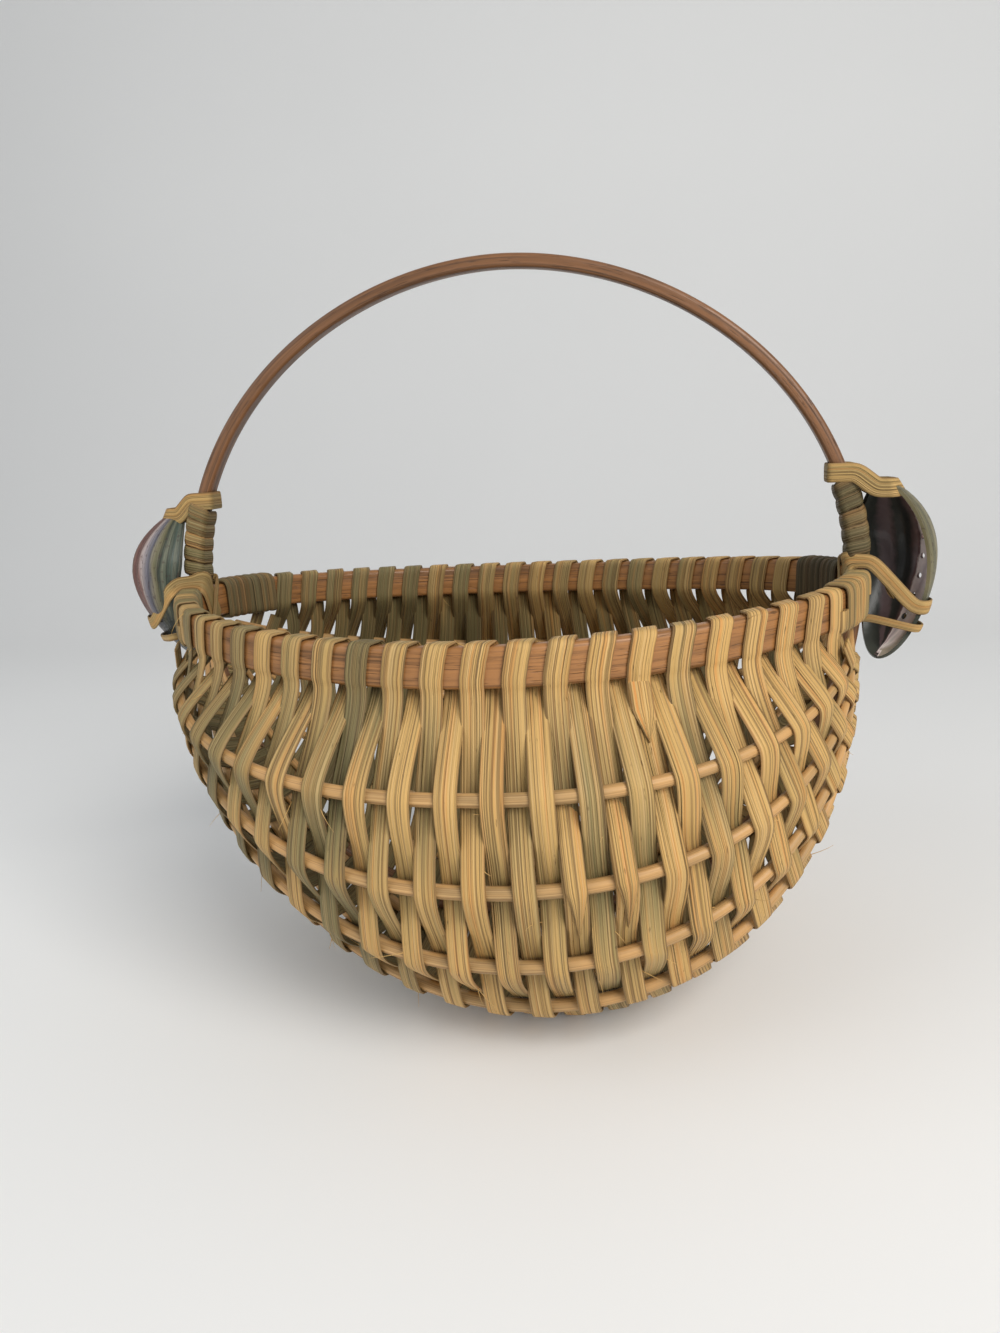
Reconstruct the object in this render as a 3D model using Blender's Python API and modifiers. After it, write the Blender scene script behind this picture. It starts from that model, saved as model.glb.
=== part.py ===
# A ribbed hoop basket: two crossed wooden hoops, round ribs, a flat reed weave and a lashed shell at each joint.
# Metres, +Z up. The origin is on the ground under the middle. +X runs from joint to joint, -Y is the front.
# The pieces are worked out round the middle of the hoops. A parent empty lifts them to stand on the ground.

import math

import bmesh
import bpy
from mathutils import Matrix, Vector

# Fits
CLEARANCE = 0.0003
WEAVE_CLEARANCE = 0.0005
WINDING_GAP = 0.0009

# Hoops
HOOP_HALF_WIDTH = 0.127
RIM_THICKNESS = 0.0055
RIM_WIDTH = 0.0127
UPRIGHT_THICKNESS = 0.0048
UPRIGHT_WIDTH = 0.008
HOOP_EDGE_BEVEL = 0.0013
HANDLE_RISE = 0.127
HANDLE_SHOULDER = 0.0133
KEEL_DROP = 0.127
RIM_HALF_DEPTH = 0.0936
RIM_END_RISE = 0.0066
HANDLE_FULLNESS = 1.94
KEEL_FULLNESS = 2.0
RIM_FULLNESS = 1.88

# Ribs, on each side of the keel
RIBS_EACH_SIDE = 6
RIB_RADIUS = 0.00225
RIB_TIP_RADIUS = 0.0009
RIB_TIP_REACH = 0.014
FIRST_RIB_ANGLE = math.radians(18.1)
LOBE_BULGE = 0.0268
LOBE_FULLNESS = 1.0
LOBE_LEAN = 0.0205
FIRST_RIB_FULLNESS = 2.26
LAST_RIB_FULLNESS = 1.85

# Flat reed of the weave
REED_WIDTH = 0.0061
REED_THICKNESS = 0.0010
RIM_CROWDING = 0.00015
RIB_SPREAD = 0.0011
RIB_BARE_END = 0.030
KEEL_BARE_END = 0.050
WEAVER_COUNT = 10
FLAT_SPOT_DEPTH = 0.0006

# Flat reed of the bindings and straps
RIM_BINDING_TURNS = 5
HANDLE_BINDING_TURNS = 4
BINDING_WIDTH = 0.0042
BINDING_THICKNESS = 0.0009
STRAP_WIDTH = 0.0045
THIN_STRAP_WIDTH = 0.0028
STRAP_THICKNESS = 0.0009
STRAP_DROP = 0.0055
LOW_STRAP_DROP = 0.0070

# Shells
SHELL_HALF_HEIGHT = 0.031
SHELL_HALF_WIDTH = 0.0135
SHELL_DEPTH = 0.014
SHELL_BEND = 0.009
SHELL_THICKNESS = 0.0013
SHELL_CENTRE_RISE = 0.0125
SHELL_STANDOFF = 0.0105
SHELL_SWING = math.radians(45)
PORE_RADIUS = 0.0013
PORE_COUNT = 6
PORE_ROW_SHARE = 0.62
PORE_ROW_LENGTH_SHARE = 0.55
SPIRE_SHARE = 0.35

# How finely each shape is drawn
FINE_STEPS = 240
KEEL_POINTS = 29
HANDLE_POINTS = 25
RIM_POINTS = 31
RIB_POINTS = 21
TURN_POINTS = 12
CORNER_POINTS = 8
SHELL_POINTS = 20
BINDING_FULLNESS = 6

# Colours, as linear RGB
HANDLE_WOOD = (0.25, 0.10, 0.035)
RIM_WOOD = (0.36, 0.13, 0.045)
RIB_CANE = (0.42, 0.27, 0.12)
REED_STRAW = (0.48, 0.34, 0.14)
REED_OLIVE = (0.30, 0.25, 0.11)
SHELL_GREEN = (0.10, 0.12, 0.10)

UP = Vector((0, 0, 1))
FRONT_TO_BACK = Vector((0, 1, 0))


class Path:
    """A line of points that is read at a distance from where it crosses the middle plane, plus to the right."""

    def __init__(self, points, smooth=None):
        self.points = points
        self.smooth = smooth or self
        self.marks = [0.0]
        for before, after in zip(points, points[1:]):
            self.marks.append(self.marks[-1] + (after - before).length)
        self.middle = 0.0
        for index, (before, after) in enumerate(zip(points, points[1:])):
            if before.x <= 0 < after.x:
                share = -before.x / (after.x - before.x)
                self.middle = self.marks[index] + share * (self.marks[index + 1] - self.marks[index])
        self.left_reach = self.middle
        self.right_reach = self.marks[-1] - self.middle

    def point(self, distance):
        mark = min(max(self.middle + distance, 0.0), self.marks[-1])
        index = 0
        while index < len(self.marks) - 2 and self.marks[index + 1] < mark:
            index += 1
        span = self.marks[index + 1] - self.marks[index]
        return self.points[index].lerp(self.points[index + 1], (mark - self.marks[index]) / span)

    def tangent(self, distance, reach):
        smooth = self.smooth
        return (smooth.point(distance + reach / 2) - smooth.point(distance - reach / 2)).normalized()

    def reach(self, side):
        return self.right_reach if side > 0 else self.left_reach


def evenly_spaced(points, count):
    """The same line, drawn with points at equal distances."""
    path = Path(points)
    step = path.marks[-1] / (count - 1)
    return [path.point(index * step - path.middle) for index in range(count)]


def superellipse(half_across, half_up, fullness, angle):
    across = math.copysign(abs(math.cos(angle)) ** (2 / fullness), math.cos(angle))
    up = math.copysign(abs(math.sin(angle)) ** (2 / fullness), math.sin(angle))
    return half_across * across, half_up * up


def turned_about(point):
    """The same place on the other lobe: half a turn about the upright middle line."""
    return Vector((-point.x, -point.y, point.z))


def sweep(start, end):
    """Angles from start to end, in fine steps."""
    return [start + (end - start) * step / FINE_STEPS for step in range(FINE_STEPS + 1)]


def keel_line():
    """The centre line of the hoop's lower half, from the left joint under the basket to the right joint."""
    inset = UPRIGHT_THICKNESS / 2
    points = []
    for angle in sweep(math.pi, 2 * math.pi):
        x, z = superellipse(HOOP_HALF_WIDTH - inset, KEEL_DROP + HANDLE_SHOULDER - inset, KEEL_FULLNESS, angle)
        points.append(Vector((x, 0, HANDLE_SHOULDER + z)))
    return points


def handle_line():
    """The centre line of the hoop's upper half, from the left joint over the top to the right joint."""
    inset = UPRIGHT_THICKNESS / 2
    points = []
    for angle in sweep(math.pi, 0):
        x, z = superellipse(HOOP_HALF_WIDTH - inset, HANDLE_RISE - HANDLE_SHOULDER - inset, HANDLE_FULLNESS, angle)
        points.append(Vector((x, 0, HANDLE_SHOULDER + z)))
    return points


def front_rim_line():
    """The centre line of the rim's front half, from the left joint to the right joint."""
    inset = RIM_THICKNESS / 2
    points = []
    for angle in sweep(math.pi, 2 * math.pi):
        x, y = superellipse(HOOP_HALF_WIDTH - inset, RIM_HALF_DEPTH - inset, RIM_FULLNESS, angle)
        points.append(Vector((x, y, RIM_END_RISE * (x / HOOP_HALF_WIDTH) ** 2)))
    return points


def rib_middle(index):
    """How far out and how far down a front rib lies in the middle plane."""
    angle = FIRST_RIB_ANGLE + (math.pi / 2 - FIRST_RIB_ANGLE) * index / RIBS_EACH_SIDE
    bulge = LOBE_BULGE * math.sin(2 * angle) ** LOBE_FULLNESS
    radius = RIM_HALF_DEPTH * math.cos(angle) ** 2 + KEEL_DROP * math.sin(angle) ** 2 + bulge
    return radius * math.cos(angle), radius * math.sin(angle)


def front_rib_line(index):
    """The centre line of a front rib. Its ends lie inside the keel, just in front of it."""
    out, down = rib_middle(index)
    half_length = HOOP_HALF_WIDTH - RIM_THICKNESS - RIB_TIP_RADIUS - CLEARANCE
    setback = UPRIGHT_WIDTH / 2 + RIB_TIP_RADIUS + 2 * CLEARANCE
    share = index / (RIBS_EACH_SIDE - 1)
    fullness = FIRST_RIB_FULLNESS + (LAST_RIB_FULLNESS - FIRST_RIB_FULLNESS) * share
    tip = math.asin((RIB_TIP_REACH / math.hypot(out - setback, down)) ** (fullness / 2))
    points = []
    for angle in sweep(math.pi - tip, tip):
        x, depth = superellipse(half_length, 1, fullness, angle)
        x += LOBE_LEAN * share * depth
        points.append(Vector((x, -setback - (out - setback) * depth, -down * depth)))
    return points


def rib_radius_at(path, distance):
    """Ribs thin out toward their points."""
    share = min(abs(distance) / path.reach(distance), 1)
    return RIB_RADIUS + (RIB_TIP_RADIUS - RIB_RADIUS) * share ** 2


def drawn(line, count):
    """The line as a piece is drawn along it, with directions read from the smooth line."""
    return Path(evenly_spaced(line, count), Path(line))


KEEL = drawn(keel_line(), KEEL_POINTS)
HANDLE = drawn(handle_line(), HANDLE_POINTS)
RIM = drawn(front_rim_line(), RIM_POINTS)
RIBS = [drawn(front_rib_line(index), RIB_POINTS) for index in range(RIBS_EACH_SIDE)]
JOINT_HEIGHT = RIM.points[0].z

# The first turn of a rim binding clears the middle strap, which passes beside the handle.
BINDING_START = UPRIGHT_WIDTH / 2 + CLEARANCE + STRAP_WIDTH + STRAP_THICKNESS + WINDING_GAP
BINDING_PITCH = BINDING_WIDTH + WINDING_GAP
BINDING_END = BINDING_START + RIM_BINDING_TURNS * BINDING_PITCH + BINDING_WIDTH

# The straps pass over and under the rim clear of its bindings.
STRAP_OFF_RIM = RIM_WIDTH / 2 + BINDING_THICKNESS + 2 * WEAVE_CLEARANCE

# The handle's binding starts above the middle strap, and the top strap lies above the binding's last turn.
HANDLE_BINDING_START = JOINT_HEIGHT + STRAP_OFF_RIM - HANDLE_SHOULDER + STRAP_WIDTH + WINDING_GAP
HANDLE_BINDING_END = HANDLE_BINDING_START + HANDLE_BINDING_TURNS * BINDING_PITCH + BINDING_WIDTH
TOP_STRAP_AT = HANDLE_BINDING_END + WINDING_GAP + STRAP_WIDTH / 2
STRAP_CLEAR_X = HOOP_HALF_WIDTH + WEAVE_CLEARANCE + STRAP_THICKNESS

RIM_PITCH = REED_WIDTH - RIM_CROWDING
RIB_PITCH = REED_WIDTH + RIB_SPREAD
RIM_BARE_END = BINDING_END + WINDING_GAP + REED_WIDTH / 2
RIM_ROOM = RIM.right_reach - RIM_BARE_END
RIB_ROOM = min(min(rib.left_reach, rib.right_reach) for rib in RIBS) - RIB_BARE_END
PASS_COUNT = 2 * int(min(RIM_ROOM / RIM_PITCH, RIB_ROOM / REED_WIDTH) + 0.5)
LAST_STEP = (PASS_COUNT - 1) / 2

REED_STANDOFF = WEAVE_CLEARANCE + REED_THICKNESS / 2
RIM_OFFSET = RIM_THICKNESS / 2 + REED_STANDOFF
RIM_OVERHANG = RIM_WIDTH / 2 + REED_STANDOFF
KEEL_OFFSET = UPRIGHT_THICKNESS / 2 + REED_STANDOFF
KEEL_OVERHANG = UPRIGHT_WIDTH / 2 + REED_STANDOFF


def along(path, step, widest_pitch, bare_end, side):
    """Where a pass crosses a member: evenly in the middle, opening out toward a long member's ends."""
    room = path.reach(step * side) - bare_end
    pitch = min(widest_pitch, room / LAST_STEP)
    spare = room - pitch * LAST_STEP
    return side * (pitch * step + math.copysign(spare, step) * abs(step / LAST_STEP) ** 3)


def along_rim(step):
    return along(RIM, step, RIM_PITCH, RIM_BARE_END, 1)


def reed_width(at, nearer):
    """The reed's full width, or less where it is squeezed against the pass nearer the middle."""
    return min(REED_WIDTH, abs(at - nearer) - 2 * CLEARANCE)


class Crossing:
    """A place where a pass of reed crosses a rib, an edge of the keel, or a lower edge of the rim."""

    def __init__(self, centre, tangent, width, needed, outside, fixed):
        self.centre = centre
        self.tangent = tangent
        self.width = width
        self.needed = needed
        self.side = 1 if outside else -1
        self.fixed = fixed
        self.outward = Vector()
        self.offset = needed

    def place(self):
        return self.centre + self.outward * self.side * self.offset

    def station(self):
        return self.place(), self.tangent * self.width / 2


def cross_member(path, step, pitch, bare_end, shift, needed, outside, turned, fixed):
    """The crossing of one pass with a front member, or with the same member turned to the back."""
    side = -1 if turned else 1
    distance = along(path, step, pitch, bare_end, side)
    width = reed_width(distance, along(path, step - math.copysign(1, step), pitch, bare_end, side))
    centre = path.point(distance)
    tangent = path.tangent(distance, REED_WIDTH)
    if turned:
        centre = turned_about(centre)
        tangent = -turned_about(tangent)
    return Crossing(centre + shift, tangent, width, needed, outside, fixed)


def rib_crossings(step, outside, turned):
    """A pass goes outside every second rib and inside the others."""
    crossings = []
    for index, rib in enumerate(RIBS):
        distance = along(rib, step, RIB_PITCH, RIB_BARE_END, -1 if turned else 1)
        needed = rib_radius_at(rib, distance) + REED_STANDOFF
        over = outside == (index % 2 == 1)
        crossings.append(cross_member(rib, step, RIB_PITCH, RIB_BARE_END, Vector(), needed, over, turned, False))
    return crossings


def pass_crossings(number):
    """All crossings of one pass, from the front rim under the basket to the back rim."""
    step = number - LAST_STEP
    outside = number % 2 == 1
    below = -UP * RIM_OVERHANG
    crossings = [cross_member(RIM, step, RIM_PITCH, RIM_BARE_END, below, RIM_OFFSET, outside, False, True)]
    crossings += rib_crossings(step, outside, False)
    over_keel = outside == (RIBS_EACH_SIDE % 2 == 1)
    for edge in (-KEEL_OVERHANG, KEEL_OVERHANG):
        shift = FRONT_TO_BACK * edge
        crossings.append(cross_member(KEEL, step, RIB_PITCH, KEEL_BARE_END, shift, KEEL_OFFSET, over_keel, False, True))
    crossings += reversed(rib_crossings(step, outside, True))
    crossings.append(cross_member(RIM, step, RIM_PITCH, RIM_BARE_END, below, RIM_OFFSET, outside, True, True))
    set_directions(crossings)
    settle_offsets(crossings)
    return crossings


def set_directions(crossings):
    """Each crossing's outward direction is square to the member and to the run of the reed."""
    last = len(crossings) - 1
    for index, crossing in enumerate(crossings):
        run = crossings[min(index + 1, last)].centre - crossings[max(index - 1, 0)].centre
        if index in (0, last):
            run = UP
        outward = crossing.tangent.cross(run).normalized()
        crossing.outward = outward if outward.dot(crossing.centre) > 0 else -outward
        if crossing.fixed and index not in (0, last):
            square = crossing.tangent.cross(FRONT_TO_BACK).normalized()
            crossing.outward = square if square.dot(crossing.centre) > 0 else -square


def settle_offsets(crossings):
    """Moves the reed off each rib until its slanting runs to both neighbours clear the rib."""
    for _ in range(6):
        for index, crossing in enumerate(crossings):
            if crossing.fixed:
                continue
            offset = crossing.needed
            for other in (crossings[index - 1], crossings[index + 1]):
                away = other.place() - crossing.centre
                away -= crossing.tangent * away.dot(crossing.tangent)
                height = away.dot(crossing.outward) * crossing.side
                run = math.sqrt(away.length_squared - height ** 2)
                offset = max(offset, crossing.needed * math.hypot(1, (crossing.offset - height) / run))
            crossing.offset = offset


# How far along the way over the rim the reed has moved sideways to its next pass, at each corner of the rim.
RIM_CORNER_SHARES = (0.0, 0.25, 0.75, 1.0)


def rim_wrap(step, next_step, from_outside, turned):
    """The reed's way over the rim from one pass to the next, as stations at the rim's corners."""
    corners = [(1, -1), (1, 1), (-1, 1), (-1, -1)]
    if not from_outside:
        corners.reverse()
    start, end = along_rim(step), along_rim(next_step)
    width = reed_width(start, along_rim(step - math.copysign(1, step)))
    stations = []
    for (depth, height), share in zip(corners, RIM_CORNER_SHARES):
        distance = start + (end - start) * share
        if turned:
            distance = -distance
        tangent = RIM.tangent(distance, REED_WIDTH)
        outward = tangent.cross(UP).normalized()
        point = RIM.point(distance) + outward * depth * RIM_OFFSET + UP * height * RIM_OVERHANG
        if turned:
            point = turned_about(point)
            tangent = -turned_about(tangent)
        stations.append((point, tangent * width / 2))
    return stations


def ends_weaver(number):
    """Reeds end on odd passes only, so spaced that every weaver has about as many passes."""
    if number % 2 == 0 or number == PASS_COUNT - 1:
        return False
    return int((number + 1) * WEAVER_COUNT / PASS_COUNT) > int((number - 1) * WEAVER_COUNT / PASS_COUNT)


def weaver_routes():
    """Splits one long to-and-fro route into weavers, each ending on the keel where the weave hides it."""
    butt = FRONT_TO_BACK * CLEARANCE / 2
    routes = []
    route = rim_wrap(-LAST_STEP, -LAST_STEP, True, False)
    for number in range(PASS_COUNT):
        outside = number % 2 == 1
        step = number - LAST_STEP
        stations = [crossing.station() for crossing in pass_crossings(number)[1:-1]]
        toward = butt
        if outside:
            stations.reverse()
            toward = -butt
        half = len(stations) // 2
        route += stations[:half]
        if ends_weaver(number):
            middle = (stations[half - 1][0] + stations[half][0]) / 2
            across = stations[half][1]
            routes.append(route + [(middle - toward, across)])
            route = [(middle + toward, across)]
        route += stations[half:]
        next_step = min(step + 1, LAST_STEP)
        route += rim_wrap(step, next_step, outside, not outside)
    routes.append(route)
    return routes


WEAVER_ROUTES = weaver_routes()
LOWEST = min(point.z for route in WEAVER_ROUTES for point, across in route) - REED_THICKNESS / 2
LIFT = -LOWEST - FLAT_SPOT_DEPTH


def clear_scene():
    for thing in list(bpy.data.objects):
        bpy.data.objects.remove(thing, do_unlink=True)


def new_collection(name):
    collection = bpy.data.collections.new(name)
    bpy.context.scene.collection.children.link(collection)
    return collection


def make_material(name, colour, roughness):
    material = bpy.data.materials.new(name)
    material.use_nodes = True
    shader = material.node_tree.nodes["Principled BSDF"]
    shader.inputs["Base Color"].default_value = (*colour, 1)
    shader.inputs["Roughness"].default_value = roughness
    shader.inputs["Metallic"].default_value = 0
    return material


def add_object(name, data, collection, parent, colour, roughness):
    thing = bpy.data.objects.new(name, data)
    collection.objects.link(thing)
    thing.parent = parent
    data.materials.append(make_material(name + "_finish", colour, roughness))
    return thing


def ribbon_mesh(name, stations, closed):
    """A flat strip, lofted from station to station. Each has a middle point and the way from it to the edge."""
    shape = bmesh.new()
    rows = []
    for point, across in stations:
        left = shape.verts.new(point - across)
        right = shape.verts.new(point + across)
        rows.append((left, right))
    following = rows[1:] + rows[:1] if closed else rows[1:]
    for (left, right), (next_left, next_right) in zip(rows, following):
        shape.faces.new((left, right, next_right, next_left))
    mesh = bpy.data.meshes.new(name)
    shape.to_mesh(mesh)
    shape.free()
    return mesh


def thicken(thing, thickness):
    solid = thing.modifiers.new("thickness", "SOLIDIFY")
    solid.thickness = thickness
    solid.offset = 0
    solid.use_even_offset = True


def cut_with(thing, cutter):
    cut = thing.modifiers.new("cut", "BOOLEAN")
    cut.operation = "DIFFERENCE"
    cut.solver = "EXACT"
    cut.object = cutter


def add_box_cutter(name, low, high, collection, parent):
    bpy.ops.mesh.primitive_cube_add(size=1, location=(low + high) / 2)
    cutter = bpy.context.object
    cutter.name = name
    cutter.scale = high - low
    return keep_as_cutter(cutter, collection, parent)


def keep_as_cutter(cutter, collection, parent):
    for holder in list(cutter.users_collection):
        holder.objects.unlink(cutter)
    collection.objects.link(cutter)
    cutter.parent = parent
    cutter.hide_render = True
    cutter.display_type = "WIRE"
    return cutter


def add_hoop(name, line, across, thickness, parts, lifted, colour):
    stations = [(point, across) for point in line]
    thing = add_object(name, ribbon_mesh(name, stations, True), parts, lifted, colour, 0.5)
    thicken(thing, thickness)
    bevel = thing.modifiers.new("edges", "BEVEL")
    bevel.width = HOOP_EDGE_BEVEL
    bevel.segments = 1
    bevel.limit_method = "ANGLE"
    bevel.angle_limit = math.radians(60)
    return thing


def add_hoops(parts, cutters, lifted):
    """Both hoops have the same half width, so they are halved into each other where they cross."""
    across = FRONT_TO_BACK * UPRIGHT_WIDTH / 2
    upright = KEEL.points + HANDLE.points[-2:0:-1]
    handle = add_hoop("handle_hoop", upright, across, UPRIGHT_THICKNESS, parts, lifted, HANDLE_WOOD)
    level = RIM.points + [turned_about(point) for point in RIM.points[1:-1]]
    rim = add_hoop("rim_hoop", level, UP * RIM_WIDTH / 2, RIM_THICKNESS, parts, lifted, RIM_WOOD)
    half_up = RIM_WIDTH / 2 + 2 * CLEARANCE
    half_across = UPRIGHT_WIDTH / 2 + 2 * CLEARANCE
    lap_plane = HOOP_HALF_WIDTH - UPRIGHT_THICKNESS / 2
    for side, label in ((-1, "left"), (1, "right")):
        inner = side * (lap_plane - UPRIGHT_THICKNESS)
        outer = side * (lap_plane + RIM_THICKNESS)
        handle_face = side * (lap_plane + CLEARANCE / 2)
        rim_face = side * (lap_plane - CLEARANCE / 2)
        low = Vector((min(inner, handle_face), -UPRIGHT_WIDTH, JOINT_HEIGHT - half_up))
        high = Vector((max(inner, handle_face), UPRIGHT_WIDTH, JOINT_HEIGHT + half_up))
        cut_with(handle, add_box_cutter("handle_lap_" + label, low, high, cutters, lifted))
        low = Vector((min(outer, rim_face), -half_across, JOINT_HEIGHT - RIM_WIDTH))
        high = Vector((max(outer, rim_face), half_across, JOINT_HEIGHT + RIM_WIDTH))
        cut_with(rim, add_box_cutter("rim_lap_" + label, low, high, cutters, lifted))


def add_rib(name, path, turned, parts, lifted):
    curve = bpy.data.curves.new(name, "CURVE")
    curve.dimensions = "3D"
    curve.bevel_depth = RIB_RADIUS
    curve.bevel_resolution = 2
    curve.use_fill_caps = True
    spline = curve.splines.new("POLY")
    spline.points.add(len(path.points) - 1)
    for index, point in enumerate(path.points):
        place = turned_about(point) if turned else point
        spline.points[index].co = (*place, 1)
        spline.points[index].radius = rib_radius_at(path, path.marks[index] - path.middle) / RIB_RADIUS
    add_object(name, curve, parts, lifted, RIB_CANE, 0.6)


def add_ribs(parts, lifted):
    for index, path in enumerate(RIBS):
        add_rib(f"front_rib_{index + 1}", path, False, parts, lifted)
        add_rib(f"back_rib_{index + 1}", path, True, parts, lifted)


def add_weavers(parts, cutters, lifted):
    """The lowest reeds are worn flat where the basket stands."""
    size = HOOP_HALF_WIDTH
    ground = add_box_cutter("ground", Vector((-size, -size, -size)), Vector((size, size, 0)), cutters, None)
    for index, route in enumerate(WEAVER_ROUTES):
        name = f"weaver_{index + 1}"
        weaver = add_object(name, ribbon_mesh(name, route, False), parts, lifted, REED_STRAW, 0.65)
        thicken(weaver, REED_THICKNESS)
        lowest = min(point.z - abs(across.z) for point, across in route) - REED_THICKNESS
        if lowest + LIFT < 0:
            cut_with(weaver, ground)


def winding_stations(path, section, start, turns, side, across, turned):
    """One unbroken strip wound round a hoop. Its ends lie straight along the hoop's outer face."""
    thickness, width = section
    depth = thickness / 2 + WEAVE_CLEARANCE + BINDING_THICKNESS / 2
    reach = width / 2 + WEAVE_CLEARANCE + BINDING_THICKNESS / 2
    stations = []
    for step in range(turns * TURN_POINTS + 3):
        turn = (step - 1) / TURN_POINTS
        distance = side * (path.reach(side) - start - turn * BINDING_PITCH)
        tangent = path.tangent(distance, BINDING_WIDTH)
        outward = tangent.cross(across).normalized()
        middle = path.point(distance)
        outward = outward if outward.dot(middle) > 0 else -outward
        out, over = superellipse(depth, reach, BINDING_FULLNESS, 2 * math.pi * turn)
        point = middle + outward * out + across * over
        if turned:
            point = turned_about(point)
            tangent = turned_about(tangent)
        stations.append((point, tangent * BINDING_WIDTH / 2))
    return stations


def least_gap(stations):
    """The least distance between facing edges of neighbouring turns, measured on their points."""
    gaps = []
    for (point, across), (later, later_across) in zip(stations, stations[TURN_POINTS:]):
        edges = [point + across, point - across]
        facing = [later + later_across, later - later_across]
        gaps.append(min((one - other).length for one in edges for other in facing))
    return min(gaps)


def add_winding(name, stations, parts, lifted, colour):
    thicken(add_object(name, ribbon_mesh(name, stations, False), parts, lifted, colour, 0.6), BINDING_THICKNESS)
    print(f"{name}: least gap between turns {least_gap(stations) * 1000:.2f} mm")


def add_bindings(parts, lifted):
    upright = (UPRIGHT_THICKNESS, UPRIGHT_WIDTH)
    level = (RIM_THICKNESS, RIM_WIDTH)
    for side, label in ((-1, "left"), (1, "right")):
        start = HANDLE_BINDING_START + BINDING_WIDTH / 2
        stations = winding_stations(HANDLE, upright, start, HANDLE_BINDING_TURNS, side, FRONT_TO_BACK, False)
        add_winding("handle_binding_" + label, stations, parts, lifted, REED_STRAW)
        start = BINDING_START + BINDING_WIDTH / 2
        stations = winding_stations(RIM, level, start, RIM_BINDING_TURNS, side, UP, False)
        add_winding("rim_binding_front_" + label, stations, parts, lifted, REED_STRAW)
        stations = winding_stations(RIM, level, start, RIM_BINDING_TURNS, -side, UP, True)
        add_winding("rim_binding_back_" + label, stations, parts, lifted, REED_OLIVE)


def shell_place(side):
    """Where a shell's open edge is centred, and how it is turned. One shows its back, the other its hollow."""
    turn = SHELL_SWING if side > 0 else SHELL_SWING + math.pi
    middle = Vector((side * (HOOP_HALF_WIDTH + SHELL_STANDOFF), 0, SHELL_CENTRE_RISE))
    return Matrix.Translation(middle) @ Matrix.Rotation(turn, 4, "Z")


def shell_shape():
    """Half of a flattened ball, with its top drawn toward the spire end and both ends bent back."""
    shape = bmesh.new()
    bmesh.ops.create_uvsphere(shape, u_segments=SHELL_POINTS, v_segments=SHELL_POINTS // 2, radius=1)
    bmesh.ops.rotate(shape, verts=shape.verts, cent=Vector(), matrix=Matrix.Rotation(math.pi / 2, 3, "Y"))
    keep_side(shape, Vector(), Vector((1, 0, 0)))
    for vertex in shape.verts:
        out, along_width, up = vertex.co
        up += SPIRE_SHARE * out * (1 - up)
        depth = out * SHELL_DEPTH - up * up * SHELL_BEND
        vertex.co = Vector((depth, along_width * SHELL_HALF_WIDTH, up * SHELL_HALF_HEIGHT))
    return shape


def keep_side(shape, place, direction):
    everything = shape.verts[:] + shape.edges[:] + shape.faces[:]
    bmesh.ops.bisect_plane(shape, geom=everything, plane_co=place, plane_no=direction, clear_inner=True)


def shell_mesh(name):
    shape = shell_shape()
    mesh = bpy.data.meshes.new(name)
    shape.to_mesh(mesh)
    shape.free()
    mesh.shade_smooth()
    return mesh


def shell_band(side, low, high):
    """Points on the shell's outer face between two heights."""
    shape = shell_shape()
    shape.transform(shell_place(side))
    keep_side(shape, UP * low, UP)
    keep_side(shape, UP * high, -UP)
    points = [vertex.co.copy() for vertex in shape.verts]
    shape.free()
    return points


def add_pore_cutter(label, place, cutters, lifted):
    """A row of small round holes near the edge that stands away from the handle."""
    shape = bmesh.new()
    for index in range(PORE_COUNT):
        share = (2 * index / (PORE_COUNT - 1) - 1) * PORE_ROW_LENGTH_SHARE
        across = -PORE_ROW_SHARE * math.sqrt(1 - share ** 2) * SHELL_HALF_WIDTH
        pore = Matrix.Translation((SHELL_DEPTH / 2, across, share * SHELL_HALF_HEIGHT))
        pore = pore @ Matrix.Rotation(math.pi / 2, 4, "Y")
        bmesh.ops.create_cone(
            shape, cap_ends=True, segments=8, radius1=PORE_RADIUS, radius2=PORE_RADIUS,
            depth=2 * SHELL_DEPTH, matrix=pore)
    mesh = bpy.data.meshes.new("pores_" + label)
    shape.to_mesh(mesh)
    shape.free()
    cutter = keep_as_cutter(bpy.data.objects.new("pores_" + label, mesh), cutters, lifted)
    cutter.matrix_local = place
    return cutter


def add_shells(parts, cutters, lifted):
    for side, label in ((-1, "left"), (1, "right")):
        name = "shell_" + label
        shell = add_object(name, shell_mesh(name), parts, lifted, SHELL_GREEN, 0.2)
        place = shell_place(side)
        shell.matrix_local = place
        solid = shell.modifiers.new("thickness", "SOLIDIFY")
        solid.thickness = SHELL_THICKNESS
        solid.offset = -1
        solid.use_even_offset = True
        cut_with(shell, add_pore_cutter(label, place, cutters, lifted))


def outline_round(points):
    """The points on the outside of a flat group, in order round it."""
    ordered = sorted((point.x, point.y) for point in points)
    chains = []
    for run in (ordered, ordered[::-1]):
        chain = []
        for x, y in run:
            while len(chain) > 1:
                (x0, y0), (x1, y1) = chain[-2:]
                if (x1 - x0) * (y - y0) - (y1 - y0) * (x - x0) > 0:
                    break
                chain.pop()
            chain.append((x, y))
        chains += chain[:-1]
    return [Vector((x, y, 0)) for x, y in chains]


def ring_round(points, distance):
    """Circles round each point, so that their outline stands that far off all of them."""
    spread = []
    for point in points:
        for step in range(CORNER_POINTS):
            angle = 2 * math.pi * (step + 0.5) / CORNER_POINTS
            spread.append(point + Vector((math.cos(angle), math.sin(angle), 0)) * distance)
    return outline_round(spread)


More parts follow.
